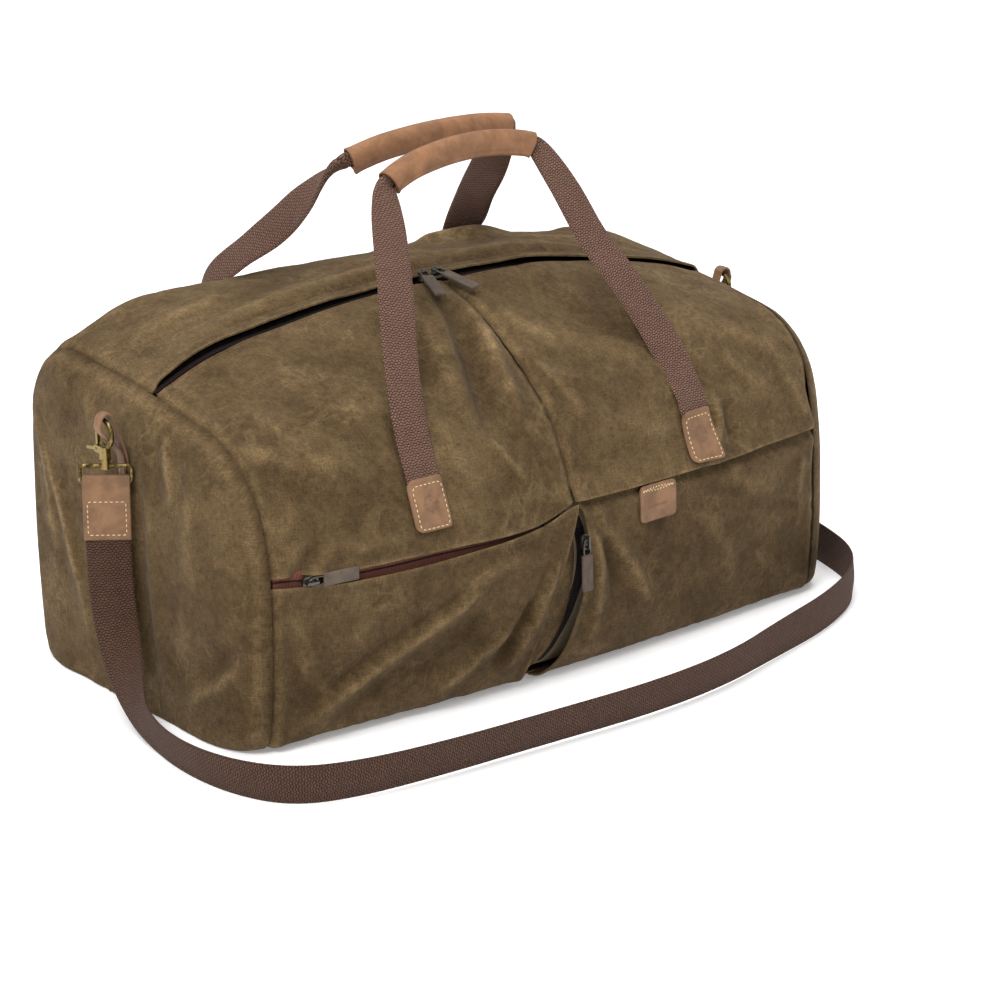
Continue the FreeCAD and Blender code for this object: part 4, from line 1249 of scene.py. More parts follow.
    def _end(self, side: int, cloth: bpy.types.Material) -> None:
        """One swelling end panel.

        Args:
            side: -1 for the left end, 1 for the right.
            cloth: its finish.
        """
        name = "left" if side < 0 else "right"
        columns, rows = 230, 84
        obj, u, v = lattice(f"end_panel_{name}_cloth", columns, rows)
        s = u * 16 if side > 0 else (1 - u) * 16
        reach = np.clip(v, 0.004, 1.0)
        rim = self.form.at(np.full(len(u), side * self.form.half_length), s)
        stops = np.array([0, 0.4, 0.72, 0.87, 0.955, 1.0])
        share = np.interp(reach, stops, np.array([1.0, 1.0, 0.97, 0.86, 0.55, 0.0]))
        smooth_share = np.sqrt(np.clip(1 - np.clip((reach - 0.62) / 0.38, 0, 1) ** 3.2, 0, 1))
        share = 0.35 * share + 0.65 * smooth_share
        points = np.column_stack([rim[:, 0] + side * self.form.end_bulge * share,
                                  rim[:, 1] * reach, rim[:, 2] * reach])
        level = points[:, 1:]
        seen = np.column_stack([np.zeros(len(u)), level])
        folds = LEFT_END_FOLDS if side < 0 else RIGHT_END_FOLDS
        lift, wear = crease(seen, folds, (1, 2))
        gap = (1 - reach) * np.hypot(rim[:, 1], rim[:, 2])
        gap = np.where(rim[:, 2] < 12, 60.0, gap)
        lift += -1.2 * np.exp(-(gap / 3.0) ** 2)
        wear += 0.35 * np.exp(-((gap - 5) / 3.4) ** 2)
        # Painted shade in the seam's groove round the rim and in the fold valleys.
        hollow = 0.8 * np.exp(-(gap / 1.5) ** 2) + np.clip(-lift / 12, 0, 1) * 0.5
        calm = 1 - np.exp(-(gap / 16) ** 2)
        lift += calm * (wrinkle(points, 66, 11.0 + side) * 2.2 + wrinkle(points, 28, 14.0 + side) * 1.0)
        lift += 0.35 * wrinkle(points, 12, 17.0) + np.exp(-(gap / 10) ** 2) * wrinkle(points, 8.5, 19.0) * 0.7
        points[:, 0] += side * lift * (0.25 + 0.75 * calm)
        points[:, 2] = np.maximum(points[:, 2], 0.3)
        drape(obj, points * MM, np.column_stack([points[:, 1], points[:, 2]]) * MM)
        paint(obj, "rub", wear)
        paint(obj, "hollow", hollow)
        close_doubles(obj, 1e-5)
        apply(obj, "SOLIDIFY", thickness=0.0016, offset=-1.0)
        keep_above(obj, FLOOR_GAP)
        smooth(obj, 50)
        bind(obj, cloth, "bag_body", f"end_panel_{name}", slot="canvas")

    def _base(self, cloth: bpy.types.Material) -> None:
        """The flat base, rolled up a little at its edges."""
        obj, u, v = lattice("base_panel_cloth", 200, 90)
        fraction = np.abs(2 * v - 1)
        half = self.form.half_length + self.form.end_bulge * np.sqrt(np.clip(1 - fraction ** 6, 0, 1)) - 1.5
        x = (2 * u - 1) * half
        inside = np.clip(x, -281.9, 281.9)
        front = self.form.at(inside, np.full(len(x), 0.1))
        back = self.form.at(inside, np.full(len(x), 15.9))
        y = front[:, 1] * (1 - v) + back[:, 1] * v
        edge = np.minimum(np.abs(2 * u - 1), 1)
        z = 0.35 + 1.6 * np.maximum(fraction ** 30, edge ** 40)
        points = np.column_stack([x, y, z])
        drape(obj, points * MM, points[:, :2] * MM)
        paint(obj, "rub", 0.4 * fraction ** 20)
        paint(obj, "hollow", np.zeros(len(x)))
        apply(obj, "SOLIDIFY", thickness=0.0016, offset=1.0)
        smooth(obj, 50)
        bind(obj, cloth, "bag_body", "base_panel", slot="canvas")

    def _lining(self, cloth: bpy.types.Material) -> None:
        """The loose lining inside, up to below the zip."""
        for name, levels, low, high in (("lining_front", (FRONT_LOW, FRONT_LOW), 6.0, 200.0),
                                        ("lining_back", (BACK_LOW, BACK_LOW), 6.0, 200.0)):
            panel = Panel(name, ((0, -279), (1, -279)), ((0, 279), (1, 279)),
                          ((-282, low), (282, low)), ((-282, high), (282, high)), levels,
                          (Edge.FLUSH,) * 4, lift=-7.0, ripple=0.25, cells=7.0, seed=9.0)
            panel.build(self.form, cloth, "bag_body", *(("lining",) if "front" in name else ()),
                        slot="lining_cloth", solid=False)


LEFT_END_FOLDS = (
    Fold(((122, 192), (104, 160), (88, 136), (76, 104), (66, 76), (54, 16)), 3.2, 7, 0.9),
    Fold(((134, 214), (120, 176), (108, 130), (98, 84)), 2.0, 7, 0.7),
    Fold(((-50, 234), (-58, 216), (-66, 196), (-68, 172)), 2.6, 7, 0.9),
    Fold(((-22, 196), (-20, 150), (-22, 104), (-28, 58), (-50, 12)), -4.6, 11, 0.4),
    Fold(((-4, 176), (0, 130), (-2, 84), (-14, 36)), 2.6, 9, 0.5),
    Fold(((-156, 100), (-136, 76), (-112, 58), (-86, 40)), -4.2, 9, 0.4),
    Fold(((-150, 76), (-126, 52), (-100, 36), (-80, 14)), 3.0, 9, 0.6),
    Fold(((-96, 200), (-92, 160), (-98, 120)), 2.2, 13, 0.4),
    Fold(((60, 238), (44, 222), (20, 214)), 1.8, 9, 0.6))
RIGHT_END_FOLDS = (
    Fold(((96, 200), (84, 150), (80, 90), (66, 20)), 3.0, 8, 0.7),
    Fold(((-54, 210), (-62, 170), (-60, 110)), 2.6, 9, 0.7),
    Fold(((26, 190), (20, 130), (24, 70), (40, 16)), -4.0, 11, 0.4),
    Fold(((-120, 110), (-96, 70), (-70, 30)), 3.0, 9, 0.6),
    Fold(((-20, 120), (-24, 70), (-40, 20)), -3.0, 10, 0.4),
    Fold(((120, 150), (112, 90), (116, 30)), 2.2, 9, 0.5))


# ---- pieces laid on the cloth --------------------------------------------------------
class Ground:
    """Finished pieces, asked where their surface is."""

    def __init__(self, *pieces: bpy.types.Object) -> None:
        """Keep a search tree of each piece."""
        graph = bpy.context.evaluated_depsgraph_get()
        self.trees = [BVHTree.FromObject(piece, graph) for piece in pieces]

    def find(self, points: np.ndarray, toward: tuple[float, float, float],
             even: int = 0) -> tuple[np.ndarray, np.ndarray]:
        """Move points along a direction onto the first surface.

        Args:
            points: places near the surface, in millimetres.
            toward: the direction to look in.
            even: how many neighbours along the line to average the normals over.
        Returns:
            The points on the surface and its outward directions.
        """
        way = Vector(toward).normalized()
        places, normals = [], []
        for point in points:
            origin = Vector(point) * MM - way * 0.1
            hits = [tree.ray_cast(origin, way, 0.25) for tree in self.trees]
            hits = [hit for hit in hits if hit[0] is not None]
            best = min(hits, key=lambda hit: hit[3]) if hits else (Vector(point) * MM, -way)
            facing = best[1] if best[1].dot(way) < 0 else -best[1]
            places.append(best[0][:])
            normals.append(facing[:])
        found, facing = np.array(places) / MM, np.array(normals)
        if even:
            kernel = np.ones(2 * even + 1) / (2 * even + 1)
            padded = np.pad(facing, ((even, even), (0, 0)), mode="edge")
            facing = np.stack([np.convolve(padded[:, k], kernel, "valid") for k in range(3)], 1)
        return found, unit(facing)


def sweep(name: str, path: np.ndarray, hint: np.ndarray, width: np.ndarray | float,
          thickness: np.ndarray | float, columns: int = 28) -> bpy.types.Object:
    """A closed tape swept along a path, in millimetres.

    Args:
        name: the piece's name.
        path: points along the tape's middle.
        hint: about which way its face looks, at each point.
        width: its width at each point.
        thickness: its thickness at each point.
        columns: faces round it.
    Returns:
        The piece.
    """
    along = unit(np.gradient(path, axis=0))
    normal = unit(hint - along * np.sum(hint * along, axis=1, keepdims=True))
    across = np.cross(along, normal)
    rows = len(path) - 1
    obj, u, v = lattice(name, columns, rows)
    pick = np.round(v * rows).astype(int)
    wide = np.broadcast_to(width, (len(path),))[pick]
    deep = np.broadcast_to(thickness, (len(path),))[pick]
    a, b, girth = flat_section(u, wide, deep)
    run = np.concatenate([[0], np.cumsum(np.linalg.norm(np.diff(path, axis=0), axis=1))])
    points = path[pick] + across[pick] * a[:, None] + normal[pick] * b[:, None]
    drape(obj, points * MM, np.stack([girth, run[pick]], 1) * MM)
    close_doubles(obj, 1e-6)
    cap(obj)
    smooth(obj, 60)
    return obj


def cap(obj: bpy.types.Object) -> None:
    """Close the open ends of a tube."""
    deselect()
    bpy.context.view_layer.objects.active = obj
    obj.select_set(True)
    bpy.ops.object.mode_set(mode="EDIT")
    bpy.ops.mesh.select_all(action="DESELECT")
    bpy.ops.mesh.select_non_manifold()
    bpy.ops.mesh.fill_holes(sides=0)
    bpy.ops.mesh.select_all(action="SELECT")
    bpy.ops.mesh.normals_make_consistent(inside=False)
    bpy.ops.object.mode_set(mode="OBJECT")


def rounded(u: np.ndarray, v: np.ndarray, width: float, height: float,
            corner: float) -> tuple[np.ndarray, np.ndarray]:
    """Map a square grid onto a rectangle with round corners, centred on nought."""
    x, y = (u - 0.5) * width, (v - 0.5) * height
    dx = np.maximum(np.abs(x) - (width / 2 - corner), 0)
    dy = np.maximum(np.abs(y) - (height / 2 - corner), 0)
    far = np.maximum(np.hypot(dx, dy), 1e-9)
    pull = np.where(np.minimum(dx, dy) > 0, np.maximum(dx, dy) / far, 1.0)
    return (np.sign(x) * (np.minimum(np.abs(x), width / 2 - corner) + dx * pull),
            np.sign(y) * (np.minimum(np.abs(y), height / 2 - corner) + dy * pull))


def frame_line(width: float, height: float, corner: float, count: int = 90) -> np.ndarray:
    """A closed line round a rectangle with round corners, centred on nought."""
    t = np.linspace(0, 4, count, endpoint=False)
    side = np.floor(t).astype(int)
    f = t - side
    u = np.choose(side, [f, np.ones(count), 1 - f, np.zeros(count)])
    v = np.choose(side, [np.zeros(count), f, np.ones(count), 1 - f])
    x, y = rounded(u, v, width, height, corner)
    return np.stack([np.append(x, x[0]), np.append(y, y[0])], 1)


def slab(name: str, size: tuple[float, float, float], bevel: float) -> bpy.types.Object:
    """A block with soft edges, standing on nought, in millimetres.

    Args:
        name: its name.
        size: along X, Y and Z.
        bevel: how far its edges are rounded.
    Returns:
        The block.
    """
    deselect()
    bpy.ops.mesh.primitive_cube_add(size=1.0)
    obj = bpy.context.object
    obj.name = name
    obj.data.name = name
    obj.data.transform(Matrix.Diagonal((size[0] * MM, size[1] * MM, size[2] * MM, 1.0)))
    obj.data.transform(Matrix.Translation((0, 0, size[2] * MM / 2)))
    apply(obj, "BEVEL", width=bevel * MM, segments=4)
    smooth(obj, 40)
    return obj


def seat(obj: bpy.types.Object, place: tuple[float, float, float], across: tuple[float, float, float],
         up: tuple[float, float, float]) -> None:
    """Move a block so that its own X runs along across and its Z along up, from place."""
    z = Vector(up).normalized()
    x = (Vector(across) - z * Vector(across).dot(z)).normalized()
    y = z.cross(x)
    turn = Matrix((x, y, z)).transposed().to_4x4()
    obj.data.transform(Matrix.Translation(Vector(place) * MM) @ turn)
    obj.data.update()


def tint(obj: bpy.types.Object, hollow: float = 0.0) -> None:
    """Give a piece an even hollow value, which darkens its finish evenly, where none has been painted."""
    paint(obj, "hollow", np.full(len(obj.data.vertices), hollow))


# ---- zips ----------------------------------------------------------------------------
@dataclass
class Zips:
    """The zip over the top, the pocket's and the upright one between the pockets."""

    form: BodyForm
    finishes: Finishes
    line: float = -8.0
    half_run: float = 279.0
    slit: Table = ((9, -28), (25, -17), (49, -4), (74, 4), (104, 7.5), (125, 5), (143, 0))

    def build(self, body: BagBody) -> None:
        """Make every tape, coil and pull."""
        self._top()
        self._pocket(body)
        self._centre()
        for name in ("main_pull_left", "main_pull_right", "pocket_pull", "centre_pull"):
            self._pull(name)

    def _band(self, obj: bpy.types.Object, x: np.ndarray, s: np.ndarray, lift: float,
              cloth: np.ndarray) -> bpy.types.Object:
        """Lay a grid on the body as a thin strip.

        Args:
            obj: the grid.
            x: its points' places along the bag.
            s: their places round it.
            lift: height above the body in millimetres.
            cloth: tape coordinates in millimetres.
        Returns:
            The strip.
        """
        points = self.form.at(x, s) + self.form.normal(x, s) * lift
        drape(obj, points * MM, cloth * MM)
        apply(obj, "SOLIDIFY", thickness=0.0007, offset=-1.0)
        smooth(obj, 60)
        return obj

    def _strip(self, name: str, near: float, far: float, lift: float, rows: int = 4) -> bpy.types.Object:
        """A strip along the top between two depths."""
        obj, u, v = lattice(name, 220, rows)
        x = (2 * u - 1) * self.half_run
        depth = near + (far - near) * v
        s = self.form.place(x, 1, depth, 4.0, 9.5)
        return self._band(obj, x, s, lift, np.stack([depth, x], 1))

    def _top(self) -> None:
        """The long zip: two tapes with half a coil each."""
        f, y = self.finishes, self.line
        bind(self._strip("main_zip_tape_front", y - 8.5, y - 0.4, -2.0), f.tape, "bag_body", "main_zip_front",
             slot="zip_tape")
        # The rear tape takes the coil's near-black finish as painted shadow under the flap's hem.
        bind(self._strip("main_zip_tape_rear", y + 0.4, y + 9.5, -2.0), f.coil, "top_flap_body",
             "main_zip_rear", slot="zip_tape")
        bind(self._strip("main_zip_coil_front", y - 2.2, y - 0.2, -0.4, 3), f.coil, "bag_body",
             slot="zip_tape")
        bind(self._strip("main_zip_coil_rear", y + 0.2, y + 2.2, -0.4, 3), f.coil, "top_flap_body",
             slot="zip_tape")

    def _pocket(self, body: BagBody) -> None:
        """The left pocket's zip under the front panel's hem."""
        for name, low, high, lift, finish in (("pocket_zip_tape", -4.0, 12.0, -2.0, self.finishes.tape),
                                              ("pocket_zip_coil", 3.8, 4.8, -1.2, self.finishes.coil)):
            obj, u, v = lattice(name, 170, 4)
            x = -self.half_run + u * 274
            edge = along_curve(body.pocket_top, x)
            squeeze = 1 - 0.9 * smoothstep(-150, -50, x)
            z = edge + (low + (high - low) * v) * squeeze
            s = self.form.place(x, 2, z, 0.0, 7.9)
            strip = self._band(obj, x, s, lift, np.stack([low + (high - low) * v, x], 1))
            bind(strip, finish, "bag_body", *(("pocket_zip",) if "tape" in name else ()), slot="zip_tape")

    def _centre(self) -> None:
        """The upright zip at the bottom of the slit."""
        for name, half, lift in (("centre_zip_tape", 5.0, -6.6), ("centre_zip_coil", 1.5, -5.6)):
            obj, u, v = lattice(name, 4, 60)
            z = 14 + v * 122
            x = along_curve(self.slit, z) + (2 * u - 1) * half
            s = self.form.place(x, 2, z, 0.0, 7.9)
            strip = self._band(obj, x, s, lift, np.stack([(2 * u - 1) * half, z], 1))
            # The centre tape takes the coil's near-black finish as painted shadow in the slit.
            bind(strip, self.finishes.coil, "bag_body", *(("centre_zip",) if "tape" in name else ()),
                 slot="zip_tape")

    def _pull(self, name: str) -> None:
        """A leather pull on a dark metal link, in the place of its plain solid."""
        verts = np.array([v.co[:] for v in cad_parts[name].data.vertices]) / MM
        middle = verts.mean(0)
        axes = np.linalg.svd(verts - middle, full_matrices=False)[2]
        along = axes[0]
        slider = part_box(name.replace("pull", "slider"))
        head = (slider[0] + slider[1]) / 2 / MM
        if np.dot(middle - np.array(head), along) < 0:
            along = -along
        reach = (verts - middle) @ along
        face = axes[2] if (axes[2] @ np.array((0, -0.7, 0.7))) > 0 else -axes[2]
        side = np.cross(along, face)
        start = middle + along * reach.min()
        length = reach.max() - reach.min()
        tab = slab(f"{name}_tab", (10.5, 3.0, length - 11.0), 1.1)
        seat(tab, tuple(start + along * 11.0), tuple(side), tuple(along))
        tint(tab, 0.1)
        bind(tab, self.finishes.pull, name, name, slot="pull_leather")
        deselect()
        bpy.ops.mesh.primitive_torus_add(major_radius=0.0036, minor_radius=0.0009, major_segments=28,
                                         minor_segments=10)
        link = bpy.context.object
        link.name = f"{name}_link"
        link.data.name = link.name
        link.data.transform(Matrix.Rotation(math.pi / 2, 4, "X") @ Matrix.Diagonal((0.95, 2.0, 1.0, 1.0)))
        seat(link, tuple(start + along * 6.8), tuple(side), tuple(along))
        smooth(link, 60)
        bind(link, self.finishes.gunmetal, name, slot="dark_metal")


# ---- handles -------------------------------------------------------------------------
@dataclass
class Handle:
    """One carrying handle: webbing up from its patches and through a rolled leather grip."""

    name: str
    outward: float
    left: Table                 # x, y, z, width, thickness, then the way its face looks
    grip: Table
    right: Table
    half_grip: float
    sleeve: Table = ((-9.6, 4.6), (-9.2, 5.6), (-6.4, 6.2), (-2.6, 6.7), (1.2, 6.6), (4.8, 5.4),
                     (7.4, 3.0), (8.4, 0), (7.4, -3.0), (4.8, -5.0), (1.2, -5.8), (-2.4, -5.2),
                     (-4.6, -2.6), (-5.9, 0.6), (-7.0, 3.0), (-9.2, 3.6), (-9.6, 4.6))

    def build(self, ground: Ground, finishes: Finishes) -> None:
        """Make the webbing and the grip.

        Args:
            ground: the panel that the webbing starts on.
            finishes: the bag's finishes.
        """
        look = (0.0, -self.outward, 0.0)
        feet = []
        for x in (-137.6, 137.6):
            spots = np.array([(x, self.outward * 160, z) for z in (160, 172, 184, 195, 204)], float)
            found, facing = ground.find(spots, look, 1)
            foot = found + facing * 1.9
            foot[-1, 1] = self.outward * max(abs(foot[-1, 1]), 153.0)
            feet.append([(*p, 32, 2.2, *n) for p, n in zip(foot, facing)])
        rows = np.array(feet[0] + list(self.left) + list(self.grip) + list(self.right) + feet[1][::-1], float)
        dense = chain(rows, np.linspace(0, len(rows) - 1, 300))
        path = dense[:, :3]
        hint = dense[:, 5:8]
        web = sweep(f"webbing_{self.name}", path, hint, dense[:, 3], dense[:, 4])
        bind(web, finishes.webbing, "", f"handle_webbing_{self.name}", f"handle_ends_{self.name}",
             slot="webbing")
        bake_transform(web)
        inside = (np.abs(path[:, 0]) <= self.half_grip) & (path[:, 2] > 370)
        self._sleeve(path[inside], finishes)

    def _sleeve(self, path: np.ndarray, finishes: Finishes) -> None:
        """The leather rolled round the webbing, closed by a stitched flange below."""
        line = chain(path, np.linspace(0, len(path) - 1, 70))
        along = unit(np.gradient(line, axis=0))
        out = np.tile((0.0, -1.0, 0.0), (len(line), 1))
        out = unit(out - along * np.sum(out * along, axis=1, keepdims=True))
        up = np.cross(out, along)
        obj, u, v = lattice(f"grip_{self.name}", 44, 69)
        pick = np.round(v * 69).astype(int)
        section = chain(np.array(self.sleeve, float), u * 16)
        ends = np.minimum(v, 1 - v) * 145
        flare = 1 + 0.06 * np.exp(-(ends / 4) ** 2)
        sag = wrinkle(line[pick] * np.array((1, 3, 3)), 40, 33.0) * 0.5
        points = (line[pick] + up[pick] * (section[:, :1] * flare[:, None] - 1.0)
                  + out[pick] * (section[:, 1:] * (flare * (1 + 0.05 * sag))[:, None]))
        drape(obj, points * MM, np.stack([u * 55, v * 145], 1) * MM)
        # Darker at the sleeve's ends and the flange's edge; painted shade in the crease where the flange
        # meets the roll.
        paint(obj, "hollow", 0.5 * np.exp(-(ends / 2.2) ** 2)
              + 0.75 * np.exp(-((section[:, 0] + 9.8) / 0.8) ** 2)
              + 0.3 * np.exp(-((section[:, 0] + 5.6) / 0.9) ** 2))
        close_doubles(obj, 1e-6)
        apply(obj, "SOLIDIFY", thickness=0.0013, offset=-1.0)
        smooth(obj, 60)
        bind(obj, finishes.grip, f"{self.name}_handle", f"handle_grip_{self.name}", slot="leather")
        rows, faces = [], []
        for side in (-1, 1):
            rows.append((line + up * -8.6 + out * (6.75 if side > 0 else 2.7))[2:-2])
            faces.append((out * side)[2:-2])
        thread = Stitcher(4.4, 3.2, 0.9).row(f"grip_stitches_{self.name}", rows, faces)
        bind(thread, finishes.thread, f"{self.name}_handle", slot="leather")


# ---- leather trim --------------------------------------------------------------------
@dataclass
class Trim:
    """Leather patches, the hem's tag, the strap's ends and the loops that hold the hooks."""

    finishes: Finishes
    patch: tuple[float, float, float] = (34.5, 38.5, 6.0)
    patch_z: float = 173.5

    def build(self, front: Ground, back: Ground) -> None:
        """Make all of it.

        Args:
            front: the front cloth.
            back: the back cloth.
        """
        for ground, side in ((front, -1), (back, 1)):
            for x in (-137.6, 137.6):
                self._patch(ground, side, x)
        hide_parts("handle_patches")
        self._tag(front)
        for side, name, y, across in ((-1, "left", -6.0, (0.782, -0.623, 0)), (1, "right", 13.0, (0, -1, 0))):
            self._strap_tab(name, (side * 324.0, y, 141.0), across)
            self._anchor(side, name, y - 1.0)

    def _patch(self, ground: Ground, side: int, x: float) -> bpy.types.Object:
        """One patch with its cream stitches and a small pressed ring.

        Args:
            ground: the cloth under it.
            side: -1 on the front, 1 on the back.
            x: its middle along the bag.
        Returns:
            The patch.
        """
        wide, tall, corner = self.patch
        name = f"patch_{'front' if side < 0 else 'back'}_{'left' if x < 0 else 'right'}"
        obj, u, v = lattice(name, 34, 38)
        px, pz = rounded(u, v, wide, tall, corner)
        base = np.column_stack([x - side * px, np.full(len(px), side * 160.0), self.patch_z + pz])
        found, facing = ground.find(base, (0, -side, 0))
        edge = np.minimum(wide / 2 - np.abs(px), tall / 2 - np.abs(pz))
        rise = 2.6 + 1.9 * (1 - smoothstep(13.5, 17.6, np.abs(px))) - 0.7 * np.exp(-(edge / 0.9) ** 2)
        rise -= 0.5 * np.exp(-((edge - 3.4) / 0.9) ** 2)
        level = found[:, 1].copy()
        fit = np.column_stack([px, pz, px * pz, px ** 2, pz ** 2, np.ones(len(px))])
        even = fit @ np.linalg.lstsq(fit, level, rcond=None)[0]
        found[:, 1] = 0.25 * level + 0.75 * even
        points = found + unit(facing.mean(0, keepdims=True)) * rise[:, None]
        drape(obj, points * MM, np.stack([px, pz], 1) * MM)
        ring = np.hypot(px, pz)
        bars = np.exp(-(np.minimum(np.abs(px), np.abs(pz)) / 0.6) ** 2)
        mark = 0.6 * np.exp(-((ring - 5.6) / 0.7) ** 2) + 0.5 * bars * (ring < 7.5) * (ring > 2.0)
        # Darker edge and pressed ring, with painted shade in the stitch groove.
        paint(obj, "hollow", 0.55 * np.exp(-(edge / 0.8) ** 2) + mark
              + 0.3 * np.exp(-((edge - 3.4) / 0.8) ** 2))
        apply(obj, "SOLIDIFY", thickness=0.0018, offset=-1.0)
        smooth(obj, 50)
        bind(obj, self.finishes.tan, "bag_body", slot="leather")
        loop = frame_line(wide - 7.0, tall - 7.0, corner - 2.0)
        start = np.column_stack([x - side * loop[:, 0], np.full(len(loop), side * 170.0),
                                 self.patch_z + loop[:, 1]])
        line, normals = Ground(obj).find(start, (0, -side, 0))
        thread = Stitcher(4.1, 2.9, 0.85).row(f"{name}_stitches", [line + normals * 0.1], [normals])
        bind(thread, self.finishes.thread, "bag_body", slot="leather")
        return obj

    def _tag(self, ground: Ground) -> None:
        """The small tag that hangs out from under the right panel's hem."""
        obj, u, v = lattice("leather_tag_soft", 40, 26)
        px, pz = rounded(u, v, 40.0, 30.0, 5.5)
        base = np.column_stack([81.5 + px, np.full(len(px), -160.0), 133.5 + pz])
        found, _ = ground.find(base, (0, 1, 0))
        fit = np.column_stack([px, pz, px * pz, px ** 2, np.ones(len(px))])
        low = pz < 12
        level = fit @ np.linalg.lstsq(fit[low], found[low, 1], rcond=None)[0]
        edge = np.minimum(20 - np.abs(px), pz + 15)
        level = level - 2.6 - 0.8 * np.exp(-((px - 4) / 16) ** 2) + 0.5 * np.exp(-(edge / 0.9) ** 2)
        points = np.column_stack([base[:, 0] + 0.04 * pz, level, base[:, 2]])
        drape(obj, points * MM, np.stack([px, pz], 1) * MM)
        mark = 0.5 * (np.abs(pz + 3) < 0.9) * (np.abs(px) < 11)
        paint(obj, "hollow", 0.5 * np.exp(-(edge / 0.8) ** 2) + mark)
        apply(obj, "SOLIDIFY", thickness=0.0019, offset=-1.0)
        smooth(obj, 50)
        bind(obj, self.finishes.tan, "bag_body", "leather_tag", slot="leather")
        wave = np.linspace(-17, 17, 23)
        rise = np.where(np.arange(23) % 2, 9.6, 12.2)
        start = np.column_stack([81.5 + wave, np.full(23, -170.0), 133.5 + rise])
        line, normals = Ground(obj).find(start, (0, 1, 0))
        thread = Stitcher(3.1, 2.6, 0.8).row("tag_stitches", [line + normals * 0.1], [normals])
        bind(thread, self.finishes.thread, "bag_body", slot="leather")

    def _strap_tab(self, name: str, place: tuple[float, float, float],
                   across: tuple[float, float, float]) -> None:
        """The folded leather end of the strap round the hook's wire loop."""
        wide, tall, deep = 37.0, 52.5, 6.2
        tab = slab(f"strap_end_{name}", (wide, deep, tall), 1.3)
        apply(tab, "SUBSURF", levels=2, subdivision_type="SIMPLE")
        co = np.array([v.co[:] for v in tab.data.vertices]) / MM
        top = smoothstep(tall - 5.0, tall, co[:, 2])
        pinch = smoothstep(tall - 9, tall - 14, co[:, 2]) * 0.16
        co[:, 1] *= 1 - 0.45 * top ** 2 - pinch
        co[:, 1] += 0.5 * np.sin(co[:, 0] / 14.0)
        tab.data.vertices.foreach_set("co", (co * MM).ravel())
        edge = np.minimum(np.minimum(wide / 2 - np.abs(co[:, 0]), co[:, 2]), 6.0)
        # Darker edge, with painted shade in the crease below the fold round the wire loop.
        hollow = 0.55 * np.exp(-(edge / 1.0) ** 2) + 0.3 * np.exp(-((co[:, 2] - tall + 16.0) / 1.0) ** 2)
        seat(tab, place, across, (0, 0, 1))
        paint(tab, "hollow", hollow)
        smooth(tab, 60)
        bind(tab, self.finishes.tan, "bag_body", f"strap_tab_{name}", slot="leather")
        loop = frame_line(wide - 7.5, 27.0, 2.0)
        loop[:, 1] += 18.0
        side = Vector(across).normalized()
        out = Vector((0, 0, 1)).cross(side)
        rows, faces = [], []
        for turn in (-1, 1):
            spots = [Vector(place) + side * a + Vector((0, 0, b))
                     + out * turn * (2.7 + 0.5 * math.sin(a / 14) * turn) for a, b in loop]
            rows.append(np.array([p[:] for p in spots]))
            faces.append(np.array([(out * turn)[:] for _ in loop]))
        thread = Stitcher(4.1, 3.0, 0.9).row(f"strap_end_stitches_{name}", rows, faces)
        bind(thread, self.finishes.thread, "bag_body", slot="leather")

    def _anchor(self, side: int, name: str, y: float) -> None:
        """The leather loop sewn into the end panel, folded through the hook's ring."""
        arc = [(324 + 5.5 * math.cos(a), 237.5 + 5.5 * math.sin(a)) for a in np.linspace(math.pi, 0, 7)]
        flat = [(306.5, 172), (307.0, 183), (307.3, 206)] + arc + [(329.2, 230), (313.2, 212), (309.6, 198),
                                                                   (309.0, 184), (308.8, 174)]
        rows = chain(np.array(flat, float), np.linspace(0, len(flat) - 1, 120))
        path = np.column_stack([side * rows[:, 0], np.full(120, y), rows[:, 1]])
        along = unit(np.gradient(path, axis=0))
        facing = np.cross(along, np.tile((0.0, 1.0, 0.0), (120, 1)))
        band = sweep(f"anchor_band_{name}", path, facing, 9.4, 2.2, 20)
        tint(band, 0.15)
        bind(band, self.finishes.tan, "bag_body", f"anchor_loop_{name}", slot="leather")
        z = np.linspace(176, 196, 12)
        rows, faces = [], []
        for shift in (-3.0, 3.0):
            rows.append(np.column_stack([np.full(12, side * 310.4), np.full(12, y + shift), z]))
            faces.append(np.tile((float(side), 0.0, 0.0), (12, 1)))
        thread = Stitcher(3.6, 2.7, 0.8).row(f"anchor_stitches_{name}", rows, faces)
        bind(thread, self.finishes.thread, "bag_body", slot="leather")


